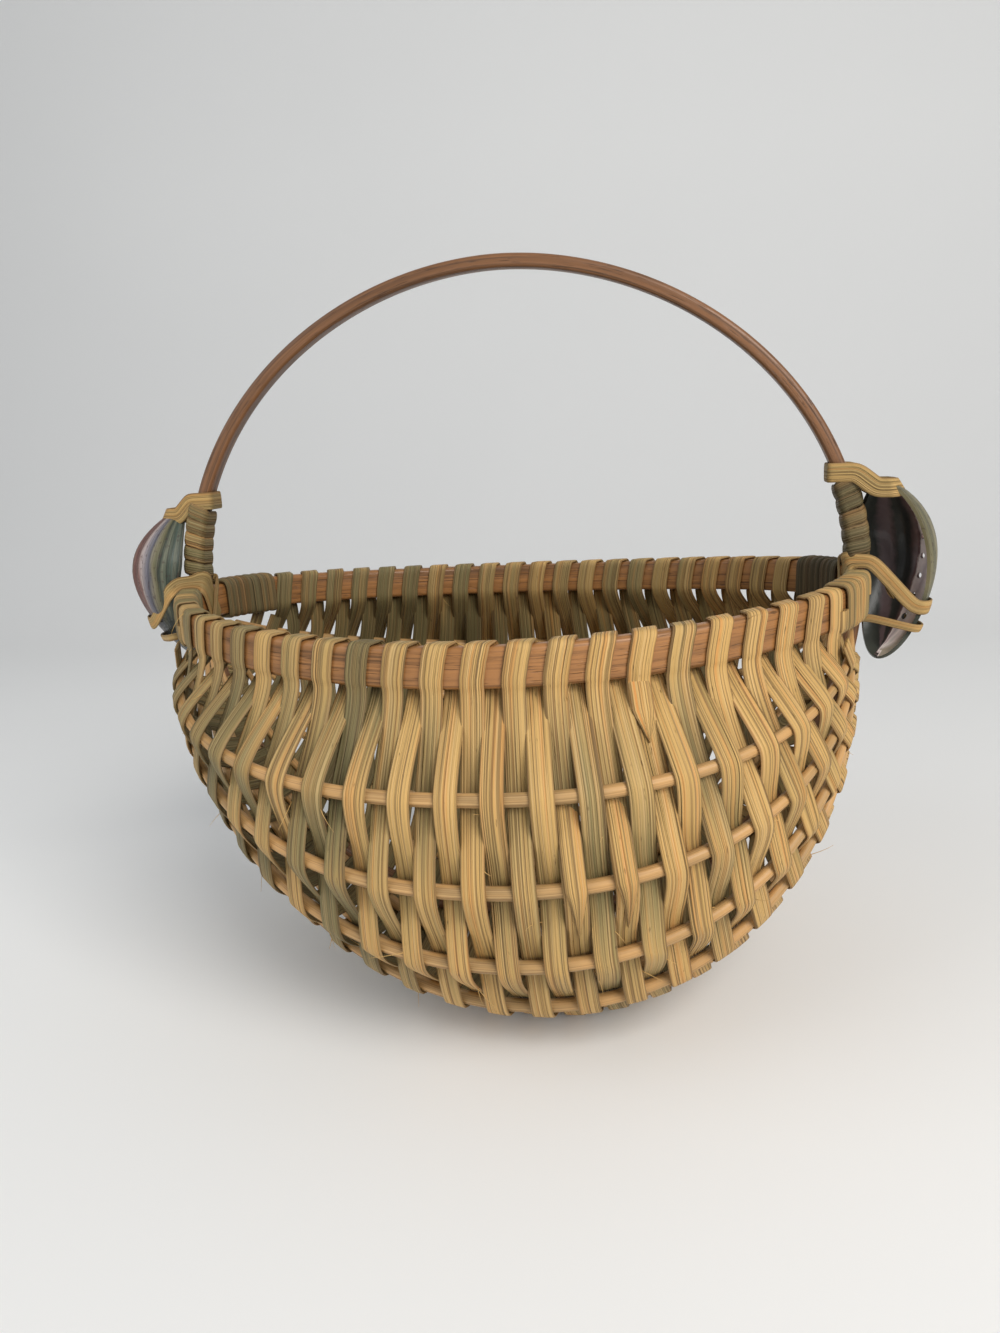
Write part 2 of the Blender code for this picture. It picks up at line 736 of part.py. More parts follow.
def upright_x(height, inset):
    """How far out the upright hoop's outer face stands near the joint, or its inner face if inset."""
    up, rise, fullness = height - HANDLE_SHOULDER, HANDLE_RISE - HANDLE_SHOULDER, HANDLE_FULLNESS
    if up < 0:
        up, rise, fullness = -up, KEEL_DROP + HANDLE_SHOULDER, KEEL_FULLNESS
    return (HOOP_HALF_WIDTH - inset) * (1 - (up / (rise - inset)) ** fullness) ** (1 / fullness)


def hoop_band(side, low, high):
    """Corners round the upright hoop between two heights."""
    outer = max(upright_x(low, 0), upright_x(high, 0))
    inner = min(upright_x(low, UPRIGHT_THICKNESS), upright_x(high, UPRIGHT_THICKNESS))
    corners = []
    for x in (inner, outer):
        for across in (-UPRIGHT_WIDTH / 2, UPRIGHT_WIDTH / 2):
            corners.append(Vector((side * x, across, 0)))
    return corners


def with_breaks(ring, out):
    """Adds a point wherever the ring passes that far out, because its height starts to change there."""
    broken = []
    for point, following in zip(ring, ring[1:] + ring[:1]):
        broken.append(point)
        if (abs(point.x) - out) * (abs(following.x) - out) < 0:
            broken.append(point.lerp(following, (out - abs(point.x)) / (abs(following.x) - abs(point.x))))
    return broken


def add_strap(name, ring, height_at, width, parts, lifted):
    """A band with upright ends to its width, at a height that changes round the ring."""
    stations = [(Vector((point.x, point.y, height_at(point))), UP * width / 2) for point in ring]
    thicken(add_object(name, ribbon_mesh(name, stations, True), parts, lifted, REED_STRAW, 0.6), STRAP_THICKNESS)


def crossing_height(width, over_front, outer_height, extra):
    """Over the rim on one side of the handle, under it on the other, and level round the shell."""
    off_rim = STRAP_OFF_RIM + width / 2 + extra

    def height_at(point):
        forward = max(min(-2 * point.y / UPRIGHT_WIDTH, 1), -1) * (1 if over_front else -1)
        share = min(max((abs(point.x) - STRAP_CLEAR_X) / SHELL_DEPTH, 0), 1)
        return (JOINT_HEIGHT + forward * off_rim) * (1 - share) + outer_height * share

    return height_at


def add_top_strap(side, label, parts, lifted):
    skin = WEAVE_CLEARANCE + STRAP_THICKNESS / 2
    top = HANDLE.point(side * (HANDLE.reach(side) - TOP_STRAP_AT)).z
    low, high = top - STRAP_WIDTH / 2, top + STRAP_WIDTH / 2
    ring = ring_round(hoop_band(side, low, high) + shell_band(side, low - STRAP_DROP, high), skin)
    clear = upright_x(low, 0) + skin

    def height_at(point):
        return top - STRAP_DROP * min(max((abs(point.x) - clear) / SHELL_DEPTH, 0), 1)

    add_strap("strap_top_" + label, with_breaks(ring, clear), height_at, STRAP_WIDTH, parts, lifted)


def add_crossed_straps(side, label, parts, lifted):
    """The thin lower strap lies over the middle strap and crosses the joint the other way."""
    skin = WEAVE_CLEARANCE + STRAP_THICKNESS / 2
    layer = STRAP_THICKNESS + CLEARANCE
    reach = STRAP_OFF_RIM + STRAP_WIDTH + layer
    low, high = JOINT_HEIGHT - reach, JOINT_HEIGHT + reach
    section = hoop_band(side, low, high) + shell_band(side, low, high)
    ring = with_breaks(ring_round(section, skin), STRAP_CLEAR_X)
    height = crossing_height(STRAP_WIDTH, True, 0, 0)
    add_strap("strap_middle_" + label, ring, height, STRAP_WIDTH, parts, lifted)
    ring = with_breaks(ring_round(section, skin + layer), STRAP_CLEAR_X)
    height = crossing_height(THIN_STRAP_WIDTH, False, -LOW_STRAP_DROP, layer)
    add_strap("strap_lower_" + label, ring, height, THIN_STRAP_WIDTH, parts, lifted)


def add_straps(parts, lifted):
    for side, label in ((-1, "left"), (1, "right")):
        add_top_strap(side, label, parts, lifted)
        add_crossed_straps(side, label, parts, lifted)


def main():
    clear_scene()
    parts = new_collection("ribbed_hoop_basket")
    cutters = new_collection("cutters")
    lifted = bpy.data.objects.new("middle_of_hoops", None)
    lifted.location = (0, 0, LIFT)
    parts.objects.link(lifted)
    add_hoops(parts, cutters, lifted)
    add_ribs(parts, lifted)
    add_weavers(parts, cutters, lifted)
    add_bindings(parts, lifted)
    add_shells(parts, cutters, lifted)
    add_straps(parts, lifted)


main()
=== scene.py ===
# The looks of a ribbed hoop basket: two crossed wooden hoops, round ribs, a flat reed weave, reed lashings
# and a sea shell at each joint. Metres, +Z up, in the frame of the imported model. +X runs from joint to joint.

import math
import random
from bisect import bisect_right
from collections import namedtuple

import bpy
from bpy.props import FloatProperty, FloatVectorProperty, IntProperty, PointerProperty
from mathutils import Matrix, Vector
from mathutils.kdtree import KDTree


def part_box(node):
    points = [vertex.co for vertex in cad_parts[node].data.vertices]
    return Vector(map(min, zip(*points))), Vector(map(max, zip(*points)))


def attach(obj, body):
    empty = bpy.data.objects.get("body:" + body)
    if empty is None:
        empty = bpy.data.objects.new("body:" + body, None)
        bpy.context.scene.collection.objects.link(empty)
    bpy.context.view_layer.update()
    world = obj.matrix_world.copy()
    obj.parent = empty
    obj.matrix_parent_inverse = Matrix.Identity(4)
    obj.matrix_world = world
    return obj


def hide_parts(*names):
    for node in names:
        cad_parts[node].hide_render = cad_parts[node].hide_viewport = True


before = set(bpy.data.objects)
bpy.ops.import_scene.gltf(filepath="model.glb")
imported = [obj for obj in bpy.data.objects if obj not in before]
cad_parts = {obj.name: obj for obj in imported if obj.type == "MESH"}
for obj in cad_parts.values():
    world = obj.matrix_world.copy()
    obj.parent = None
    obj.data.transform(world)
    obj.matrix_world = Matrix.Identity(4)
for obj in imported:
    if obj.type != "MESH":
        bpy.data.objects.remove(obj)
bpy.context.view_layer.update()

bl_info = {
    "name": "Ribbed hoop basket",
    "version": (1, 0, 0),
    "blender": (4, 5, 0),
    "location": "3D View > Sidebar > Basket",
    "description": "Models and finishes a ribbed hoop basket round its packed frame",
    "category": "Add Mesh",
}

# Hoops, as in the solids
HOOP_HALF_WIDTH = 0.127
RIM_THICKNESS = 0.0055
RIM_WIDTH = 0.0127
UPRIGHT_THICKNESS = 0.0048
UPRIGHT_WIDTH = 0.008
HANDLE_RISE = 0.127
HANDLE_SHOULDER = 0.0133
KEEL_DROP = 0.127
RIM_HALF_DEPTH = 0.0936
RIM_END_RISE = 0.0066
HANDLE_FULLNESS = 1.94
KEEL_FULLNESS = 2.0
RIM_FULLNESS = 1.88
LAP_CLEARANCE = 0.0003
HOOP_SHARP_ANGLE = math.radians(40)
HOOP_EDGE_STEPS = 4
BEVEL_FROM_ANGLE = math.radians(60)

# Ribs, as in the solids
RIBS_EACH_SIDE = 6
RIB_TIP_RADIUS = 0.0009
RIB_TIP_REACH = 0.014
FIRST_RIB_ANGLE = math.radians(18.1)
LOBE_BULGE = 0.0268
LOBE_FULLNESS = 1.0
LOBE_LEAN = 0.0205
FIRST_RIB_FULLNESS = 2.26
LAST_RIB_FULLNESS = 1.85
RIB_RINGS = 110
RIB_BEVEL_STEPS = 3
MERGE_DISTANCE = 0.00001

# Where the reed passes
PASS_COUNT = 42
REED_COUNT = 10
LAST_STEP = (PASS_COUNT - 1) / 2
RIM_PITCH = 0.00595
RIB_PITCH = 0.0072
RIM_BARE_END = 0.04425
RIB_BARE_END = 0.030
KEEL_BARE_END = 0.050
SOLID_GAP = 0.0005

# How a reed bends. A pull is how far it runs straight on from a knot, as a share of the span.
REED_GAP = 0.00012
REED_OVERLAP = 0.0014
LEAST_PULL = 0.7
MOST_PULL = 1.9
RIM_LEAVING_PULL = 0.55
REED_LEAN = math.radians(8)
REED_SLIP = 0.00022
# Painted shade: added to a reed's shade where it passes behind a member, which makes it olive and darker
RECESS_PAINTED_SHADE = 0.42
WRAP_STEPS = 22
WRAP_REACH = math.radians(40)
WRAP_FULLNESS = 5
EDGE_TURN_RADIUS = 0.0016
RING_STEP = 0.0016
REED_FULLNESS = 3.6
REED_SIDES = 12
REED_SHARP_ANGLE = math.radians(60)

# How far one pass of reed differs from the next. A shade of 0 is straw and 1 is olive; painted shade behind a
# member adds to it.
WEAVE_SEED = 11
WIDTH_SHARES = (0.94, 1.03)
LEAN_SHARES = (0.5, 1.3)
FIRST_SHADE = 0.5
MIDDLE_SHADE = 0.42
SHADE_FALL = 0.30
PASS_SHADES = (-0.38, 0.38)
SPAN_SHADES = (-0.15, 0.15)

# Short reeds beside the joints, which carry on the count of passes, and how far their ends run past the ribs
JOINT_REEDS = (-2, -1, PASS_COUNT, PASS_COUNT + 1)
JOINT_REED_END = 0.0070
JOINT_REED_SHADES = (0.3, 0.8)

# Pointed ends of reeds that lie on the front of the weave: the pass, and how many members above it are passed
REED_TAILS = [(29, 0), (25, 1), (27, 1)]
TAIL_SHARE = 0.62
TAIL_WIDTH_SHARE = 0.86
TAIL_THICKNESS_SHARE = 0.7
TAIL_LIFT_SHARE = 1.05
TAIL_RISE_SHARE = 0.25
TAIL_POINT_SHARE = 0.45
TAIL_TIP_SHARE = 0.02
TAIL_SHADE = -0.5

# Where each piece starts on the grain pattern, in metres, so that no two look alike
REED_MARK_STEP = 7.3
TAIL_MARK = 90.0
JOINT_REED_MARK = 120.0
BINDING_MARK = 3.0
TOP_STRAP_MARK = 2.0
STRAP_MARK = 4.0
LOW_STRAP_MARK = 6.0

# Lashings
BINDING_START = 0.0106
BINDING_LENGTH = 0.0300
BINDING_THICKNESS = 0.0019
HANDLE_BINDING_RISE = 0.0078
HANDLE_BINDING_LENGTH = 0.0304
BINDING_SEED = 5
BINDING_FULLNESS = 2.1
BINDING_ROUND_FULLNESS = 5
BINDING_SPARE_TURN = 0.6
BINDING_HALF_WIDTH_SHARE = 0.51
BINDING_SLIP_SHARE = 0.05
BINDING_SHADE = 0.45
BINDING_SHADE_SWING = 0.3
BINDING_SHADE_STEP = 2.1
TURN_STEPS = 28
TOP_STRAP_RISE = 0.0412
TOP_STRAP_WIDTH = 0.0066
STRAP_OFF_RIM = RIM_WIDTH / 2 + 0.0010
STRAP_THICKNESS = 0.0009
STRAP_DROP = 0.0055
LOW_STRAP_DROP = 0.0070
LASH_SHARE = 1.8
TOP_STRAP_LEAN = -0.9
STRAP_LEAN = 0.25
LOW_STRAP_LEAN = 0.45
STRAP_SHADE = 0.35
STRAP_FULLNESS = 3.0
STRAP_SIDES = 14
RING_POINTS = 96
RING_SPREAD = 16
RING_SMOOTHING = 2
HEIGHT_SMOOTHING = 6
STRAP_CLEAR_X = HOOP_HALF_WIDTH + SOLID_GAP + STRAP_THICKNESS

# Shells, as in the solids, but wider beside the handle, with low folds, and with holes nearer the middle
SHELL_HALF_HEIGHT = 0.031
SHELL_HALF_WIDTH = 0.0135
SHELL_DEPTH = 0.014
SHELL_BEND = 0.009
SHELL_THICKNESS = 0.0013
SHELL_CENTRE_RISE = 0.0125
SHELL_STANDOFF = 0.0105
SHELL_SWING = math.radians(45)
PORE_RADIUS = 0.0010
PORE_COUNT = 6
PORE_ROW_SHARE = 0.24
PORE_ROW_LENGTH_SHARE = 0.55
SPIRE_SHARE = 0.35
SHELL_GIRTH = 0.042
FLARE_SHARE = 0.24
FLARE_START_SHARE = 0.10
FLARE_LENGTH_SHARE = 0.30
FOLD_HEIGHT_SHARE = 0.025
FOLD_COUNT = 16
SHELL_SPOKES = 72
SHELL_RINGS = 36
PORE_SIDES = 20
SHELL_SHARP_ANGLE = math.radians(50)
BAND_RINGS = 32
BAND_SPOKES = 48

# Stray fibres
FIBRE_SEED = 23
FIBRE_RINGS = 5
FIBRE_SIDES = 4
FIBRE_LENGTHS = (0.003, 0.011)
FIBRE_AIMS = (0.1, 0.8)
FIBRE_DRIFTS = (-0.5, 0.5)
FIBRE_DROOPS = (-0.9, 0.5)
FIBRE_FLATTENING = 0.5
FIBRE_ROOT_SHARE = 0.9
FIBRE_LIFT_SHARE = 0.3
FIBRE_CURL_SHARE = 0.6
FIBRE_TAPER_SHARE = 0.7
FIBRE_GROUND_GAP = 0.001
FIBRE_SHADE = 0.2
FIBRE_GRAIN_STEP = 0.001
FIBRE_GRAIN_WIDTH = 0.0001

# Floor, wall and light. A lamp has its name, place, aim, size, watts and colour.
FLOOR_SIZE = 4
FLOOR_MIDDLE = (0, -0.8, 0)
WALL_HEIGHT = 2
WALL_FOOT_RADIUS = 0.6
WALL_FOOT_STEPS = 16
FLOOR_SHADE_SHARE = 0.97
SKY_COLOUR = (0.93, 0.96, 1.0)
SKY_STRENGTH = 0.36
LAMPS = [
    ("window", (0.75, -0.95, 0.95), (0, 0, 0.1), 0.8, 17.5, (1.0, 0.97, 0.93)),
    ("room", (-0.9, -0.6, 0.7), (0, 0, 0.1), 1.0, 4, (0.92, 0.96, 1.0)),
]

UP = Vector((0, 0, 1))
FRONT_TO_BACK = Vector((0, 1, 0))
FINE_STEPS = 360

RIM_LOW, RIM_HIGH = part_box("rim_hoop")
HANDLE_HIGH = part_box("handle_hoop")[1]
MIDDLE = Vector(((RIM_LOW.x + RIM_HIGH.x) / 2, 0, HANDLE_HIGH.z - HANDLE_RISE))


class BasketSizes(bpy.types.PropertyGroup):
    reed_width: FloatProperty(
        name="Reed width", description="Width of the flat reed of the weave", default=0.0074, unit="LENGTH")
    reed_thickness: FloatProperty(
        name="Reed thickness", description="Thickness of the flat reed", default=0.0011, unit="LENGTH")
    rib_radius: FloatProperty(
        name="Rib radius", description="Radius of a rib in its middle", default=0.00225, unit="LENGTH")
    hoop_edge: FloatProperty(
        name="Hoop edge", description="Radius of the rounded edges of both hoops", default=0.0017,
        unit="LENGTH")
    handle_turns: IntProperty(
        name="Handle turns", description="Turns of reed round each foot of the handle", default=5, min=1)
    rim_turns: IntProperty(
        name="Rim turns", description="Turns of reed round the front rim beside each joint", default=5, min=1)
    rear_rim_turns: IntProperty(
        name="Rear rim turns", description="Turns of reed round the back rim beside each joint", default=7,
        min=1)
    strap_width: FloatProperty(
        name="Strap width", description="Width of the reed that ties the shells", default=0.0050,
        unit="LENGTH")
    thin_strap_width: FloatProperty(
        name="Thin strap width", description="Width of the thin lower tie", default=0.0028, unit="LENGTH")
    fibre_count: IntProperty(
        name="Stray fibres", description="Fine fibres that stand off the reed", default=130, min=0)
    fibre_radius: FloatProperty(
        name="Fibre radius", description="Radius of a stray fibre at its root", default=0.00014,
        unit="LENGTH")


class BasketColours(bpy.types.PropertyGroup):
    straw: FloatVectorProperty(
        name="Straw", description="Dry reed", subtype="COLOR", default=(0.62, 0.385, 0.133))
    olive: FloatVectorProperty(
        name="Olive", description="Green-grey reed", subtype="COLOR", default=(0.255, 0.215, 0.092))
    honey: FloatVectorProperty(
        name="Honey", description="Orange streaks of the reed", subtype="COLOR", default=(0.62, 0.28, 0.075))
    rim_wood: FloatVectorProperty(
        name="Rim wood", description="Wood of the rim hoop", subtype="COLOR", default=(0.30, 0.135, 0.043))
    handle_wood: FloatVectorProperty(
        name="Handle wood", description="Wood of the handle hoop", subtype="COLOR",
        default=(0.185, 0.085, 0.036))
    nacre: FloatVectorProperty(
        name="Nacre", description="Hollow side of the shells", subtype="COLOR", default=(0.84, 0.73, 0.69))
    floor: FloatVectorProperty(
        name="Floor", description="Floor and backdrop", subtype="COLOR", default=(0.89, 0.89, 0.88))


def eased(share):
    """A share from 0 to 1 that sets off and arrives gently."""
    return share * share * (3 - 2 * share)


def clamped(share):
    return min(max(share, 0), 1)


class Path:
    """A line of points, read at a distance from where it crosses the middle plane, plus to the right."""

    def __init__(self, points):
        self.points = points
        self.marks = [0.0]
        for before, after in zip(points, points[1:]):
            self.marks.append(self.marks[-1] + (after - before).length)
        self.middle = 0.0
        for index, (before, after) in enumerate(zip(points, points[1:])):
            if before.x <= 0 < after.x:
                share = -before.x / (after.x - before.x)
                self.middle = self.marks[index] + share * (self.marks[index + 1] - self.marks[index])

    def point(self, distance):
        mark = min(max(self.middle + distance, 0.0), self.marks[-1])
        index = min(bisect_right(self.marks, mark), len(self.marks) - 1) - 1
        span = self.marks[index + 1] - self.marks[index]
        return self.points[index].lerp(self.points[index + 1], (mark - self.marks[index]) / span)

    def tangent(self, distance, reach=0.006):
        return (self.point(distance + reach / 2) - self.point(distance - reach / 2)).normalized()

    def reach(self, side):
        return self.marks[-1] - self.middle if side > 0 else self.middle


def evenly_spaced(points, count):
    path = Path(points)
    step = path.marks[-1] / (count - 1)
    return [path.point(index * step - path.middle) for index in range(count)]


def superellipse(half_across, half_up, fullness, angle):
    across = math.copysign(abs(math.cos(angle)) ** (2 / fullness), math.cos(angle))
    up = math.copysign(abs(math.sin(angle)) ** (2 / fullness), math.sin(angle))
    return half_across * across, half_up * up


def turned_about(point):
    """The same place on the other lobe: half a turn about the upright middle line."""
    return Vector((-point.x, -point.y, point.z))


def sweep(start, end):
    return [start + (end - start) * step / FINE_STEPS for step in range(FINE_STEPS + 1)]


def keel_line():
    inset = UPRIGHT_THICKNESS / 2
    drop = KEEL_DROP + HANDLE_SHOULDER - inset
    points = []
    for angle in sweep(math.pi, 2 * math.pi):
        x, z = superellipse(HOOP_HALF_WIDTH - inset, drop, KEEL_FULLNESS, angle)
        points.append(Vector((x, 0, HANDLE_SHOULDER + z)))
    return points


def handle_line():
    inset = UPRIGHT_THICKNESS / 2
    rise = HANDLE_RISE - HANDLE_SHOULDER - inset
    points = []
    for angle in sweep(math.pi, 0):
        x, z = superellipse(HOOP_HALF_WIDTH - inset, rise, HANDLE_FULLNESS, angle)
        points.append(Vector((x, 0, HANDLE_SHOULDER + z)))
    return points


def front_rim_line():
    inset = RIM_THICKNESS / 2
    points = []
    for angle in sweep(math.pi, 2 * math.pi):
        x, y = superellipse(HOOP_HALF_WIDTH - inset, RIM_HALF_DEPTH - inset, RIM_FULLNESS, angle)
        points.append(Vector((x, y, RIM_END_RISE * (x / HOOP_HALF_WIDTH) ** 2)))
    return points


def front_rib_line(index):
    """The centre line of a front rib, from its point at the left joint to its point at the right joint."""
    angle = FIRST_RIB_ANGLE + (math.pi / 2 - FIRST_RIB_ANGLE) * index / RIBS_EACH_SIDE
    bulge = LOBE_BULGE * math.sin(2 * angle) ** LOBE_FULLNESS
    radius = RIM_HALF_DEPTH * math.cos(angle) ** 2 + KEEL_DROP * math.sin(angle) ** 2 + bulge
    out, down = radius * math.cos(angle), radius * math.sin(angle)
    half_length = HOOP_HALF_WIDTH - RIM_THICKNESS - RIB_TIP_RADIUS - LAP_CLEARANCE
    setback = UPRIGHT_WIDTH / 2 + RIB_TIP_RADIUS + 2 * LAP_CLEARANCE
    share = index / (RIBS_EACH_SIDE - 1)
    fullness = FIRST_RIB_FULLNESS + (LAST_RIB_FULLNESS - FIRST_RIB_FULLNESS) * share
    tip = math.asin((RIB_TIP_REACH / math.hypot(out - setback, down)) ** (fullness / 2))
    points = []
    for turn in sweep(math.pi - tip, tip):
        x, depth = superellipse(half_length, 1, fullness, turn)
        x += LOBE_LEAN * share * depth
        points.append(Vector((x, -setback - (out - setback) * depth, -down * depth)))
    return points


KEEL = Path(keel_line())
HANDLE = Path(handle_line())
RIM = Path(front_rim_line())
RIBS = [Path(front_rib_line(index)) for index in range(RIBS_EACH_SIDE)]
JOINT_HEIGHT = RIM.points[0].z


def rib_radius_at(path, distance, middle_radius):
    """Ribs thin out toward their points."""
    share = min(abs(distance) / path.reach(distance), 1)
    return middle_radius + (RIB_TIP_RADIUS - middle_radius) * share ** 2


class Value:
    """The output of a node. Arithmetic on it adds Math nodes to its finish."""

    def __init__(self, finish, socket):
        self.finish = finish
        self.socket = socket

    def worked(self, operation, first, second):
        return self.finish.node("ShaderNodeMath", {"operation": operation}, {0: first, 1: second})

    def __add__(self, other):
        return self.worked("ADD", self, other)

    def __radd__(self, other):
        return self.worked("ADD", other, self)

    def __sub__(self, other):
        return self.worked("SUBTRACT", self, other)

    def __rsub__(self, other):
        return self.worked("SUBTRACT", other, self)

    def __mul__(self, other):
        return self.worked("MULTIPLY", self, other)

    def __rmul__(self, other):
        return self.worked("MULTIPLY", other, self)


class Finish:
    """One material, made of nodes that feed its Principled shader."""

    def __init__(self, name, roughness, **sockets):
        self.material = bpy.data.materials.new(name)
        self.material.use_nodes = True
        self.tree = self.material.node_tree
        self.shader = self.tree.nodes["Principled BSDF"]
        self.shader.inputs["Roughness"].default_value = roughness
        for key, value in sockets.items():
            self.shader.inputs[key.replace("_", " ")].default_value = value

    def feed(self, socket, value):
        if isinstance(value, Value):
            self.tree.links.new(value.socket, socket)
        elif hasattr(value, "__len__") and len(value) == 3 and len(socket.default_value) == 4:
            socket.default_value = (*value, 1)
        else:
            socket.default_value = value

    def node(self, kind, settings, inputs, output=0):
        made = self.tree.nodes.new(kind)
        for key, value in settings.items():
            if key == "stops":
                self.set_stops(made.color_ramp, value)
            else:
                setattr(made, key, value)
        for key, value in inputs.items():
            self.feed(made.inputs[key], value)
        return Value(self, made.outputs[output])

    def set_stops(self, ramp, stops):
        while len(ramp.elements) < len(stops):
            ramp.elements.new(1)
        for element, (place, colour) in zip(ramp.elements, stops):
            element.position = place
            element.color = (*colour, 1)

    def mix(self, share, first, second):
        settings = {"data_type": "RGBA", "clamp_factor": True}
        return self.node("ShaderNodeMix", settings, {0: share, 6: first, 7: second}, 2)

    def between(self, value, low, high):
        """0 below low, 1 above high, and smooth from one to the other."""
        settings = {"interpolation_type": "SMOOTHSTEP", "clamp": True}
        return self.node("ShaderNodeMapRange", settings, {0: value, 1: low, 2: high})

    def ramp(self, value, stops):
        return self.node("ShaderNodeValToRGB", {"stops": stops}, {0: value})

    def grain_place(self):
        """Metres along and across the grain, from the piece's own map."""
        grain = self.node("ShaderNodeUVMap", {"uv_map": "grain"}, {})
        return [self.node("ShaderNodeSeparateXYZ", {}, {0: grain}, axis) for axis in (0, 1)]

    def noise(self, along, across, seed, detail=2.0, roughness=0.5):
        place = self.node("ShaderNodeCombineXYZ", {}, {0: along, 1: across, 2: seed})
        inputs = {"Vector": place, "Scale": 1.0, "Detail": detail, "Roughness": roughness}
        return self.node("ShaderNodeTexNoise", {}, inputs)

    def streaks(self, along, across, seed, low, high, detail=2.0):
        """Noise cut to streaks: 0 where it is below low, 1 above high."""
        return self.between(self.noise(along, across, seed, detail), low, high)

    def attribute(self, name):
        return self.node("ShaderNodeAttribute", {"attribute_name": name}, {}, 2)

    def colour(self, value):
        self.feed(self.shader.inputs["Base Color"], value)

    def roughness(self, value):
        self.feed(self.shader.inputs["Roughness"], value)

    def bump(self, height, distance, strength):
        inputs = {"Height": height, "Distance": distance, "Strength": strength}
        self.feed(self.shader.inputs["Normal"], self.node("ShaderNodeBump", {}, inputs))


def shaded(colour, share):
    return tuple(channel * share for channel in colour)


PALE_FIBRE = (0.72, 0.49, 0.23)
DARK_LINE = (0.15, 0.088, 0.036)
SPLIT = (0.12, 0.065, 0.028)
NICK = (0.10, 0.055, 0.025)
REED_EDGE = (0.17, 0.095, 0.04)
# Painted shade on the face of a reed that looks into the basket
PAINTED_SHADE_INNER_FACE = (0.085, 0.06, 0.026)
# Painted shade where a reed passes behind a rib
PAINTED_SHADE_BEHIND_RIB = (0.085, 0.070, 0.030)
# Painted shade that darkens whole copies of the reed, as for bindings that lie in shade
PAINTED_SHADE_BROWN = (0.035, 0.026, 0.015)
TAN_CANE = (0.58, 0.33, 0.125)
BROWN_CANE = (0.38, 0.24, 0.10)
CANE_LINE = (0.20, 0.10, 0.04)
PALE_CANE = (0.72, 0.47, 0.21)
SHELL_CHALK = (0.33, 0.31, 0.22)
SHELL_GROOVE = (0.035, 0.03, 0.026)
SHELL_SPECK = (0.045, 0.018, 0.018)
SHELL_FOOT = (0.026, 0.034, 0.030)
NACRE_LUSTRE = (0.46, 0.52, 0.46)


def reed_finish(name, colours, painted_shade_share, greenness):
    """Split reed: long parallel fibres in straw, honey and olive, with dark and pale lines between them.
    It is darker along its edges, and painted shade darkens its inner face and where it passes behind a rib."""
    finish = Finish(name, 0.62, Specular_IOR_Level=0.3)
    along, across = finish.grain_place()
    shade = finish.attribute("shade")
    inner = finish.attribute("inner")
    edge = finish.attribute("edge")
    broad = finish.noise(along * 7, across * 420, 1.7)
    slow = finish.noise(along * 22, across * 40, 5.1)
    # The inner face adds painted shade to the tone, drawing it toward olive
    tone = shade * 0.90 + inner * 0.34 + broad * 0.80 + slow * 0.50 + (greenness - 0.66)
    reed = finish.mix(finish.between(tone, 0.20, 1.0), colours.straw, colours.olive)
    honey = finish.streaks(along * 9, across * 620, 9.3, 0.50, 0.66)
    reed = finish.mix(honey * (0.70 - shade * 0.6), reed, colours.honey)
    pale = finish.streaks(along * 9, across * 2100, 3.9, 0.50, 0.66)
    reed = finish.mix(pale * 0.48, reed, PALE_FIBRE)
    lines = finish.noise(along * 7, across * 2500, 12.4)
    dark = finish.between(lines, 0.48, 0.64)
    reed = finish.mix(dark * 0.68, reed, DARK_LINE)
    splits = finish.streaks(along * 6, across * 800, 17.0, 0.60, 0.70)
    reed = finish.mix(splits * 0.55, reed, SPLIT)
    nicks = finish.streaks(along * 210, across * 900, 21.0, 0.68, 0.80)
    reed = finish.mix(nicks * 0.5, reed, NICK)
    reed = finish.mix(finish.between(edge, 0.80, 1.0) * 0.60, reed, REED_EDGE)
    # Painted shade on the face that looks into the basket
    reed = finish.mix(finish.between(inner, 0.45, 1.0) * 0.30, reed, PAINTED_SHADE_INNER_FACE)
    # Painted shade: a high shade, as behind a rib, goes dark
    reed = finish.mix(finish.between(shade, 0.45, 1.35) * 0.50, reed, PAINTED_SHADE_BEHIND_RIB)
    # Painted shade: the whole reed is darkened by the share that the finish is given
    finish.colour(finish.mix(painted_shade_share, reed, PAINTED_SHADE_BROWN))
    finish.roughness(0.50 + dark * 0.2 + broad * 0.15)
    finish.bump(lines * -1.0 + splits * -0.7 + nicks * -0.4, 0.00065, 1.0)
    return finish.material


def rib_finish(colours):
    """Round reed of the ribs: even tan cane with fine lengthwise lines."""
    finish = Finish("rib_cane", 0.5, Specular_IOR_Level=0.4)
    along, across = finish.grain_place()
    slow = finish.noise(along * 24, across * 200, 2.2)
    cane = finish.mix(finish.between(slow, 0.35, 0.7), TAN_CANE, BROWN_CANE)
    lines = finish.noise(along * 12, across * 1500, 6.5, 3.0)
    dark = finish.between(lines, 0.5, 0.72)
    cane = finish.mix(dark * 0.55, cane, CANE_LINE)
    pale = finish.streaks(along * 16, across * 2100, 8.8, 0.55, 0.75)
    finish.colour(finish.mix(pale * 0.4, cane, PALE_CANE))
    finish.roughness(0.42 + dark * 0.25)
    finish.bump(lines * -1.0, 0.00030, 0.7)
    return finish.material


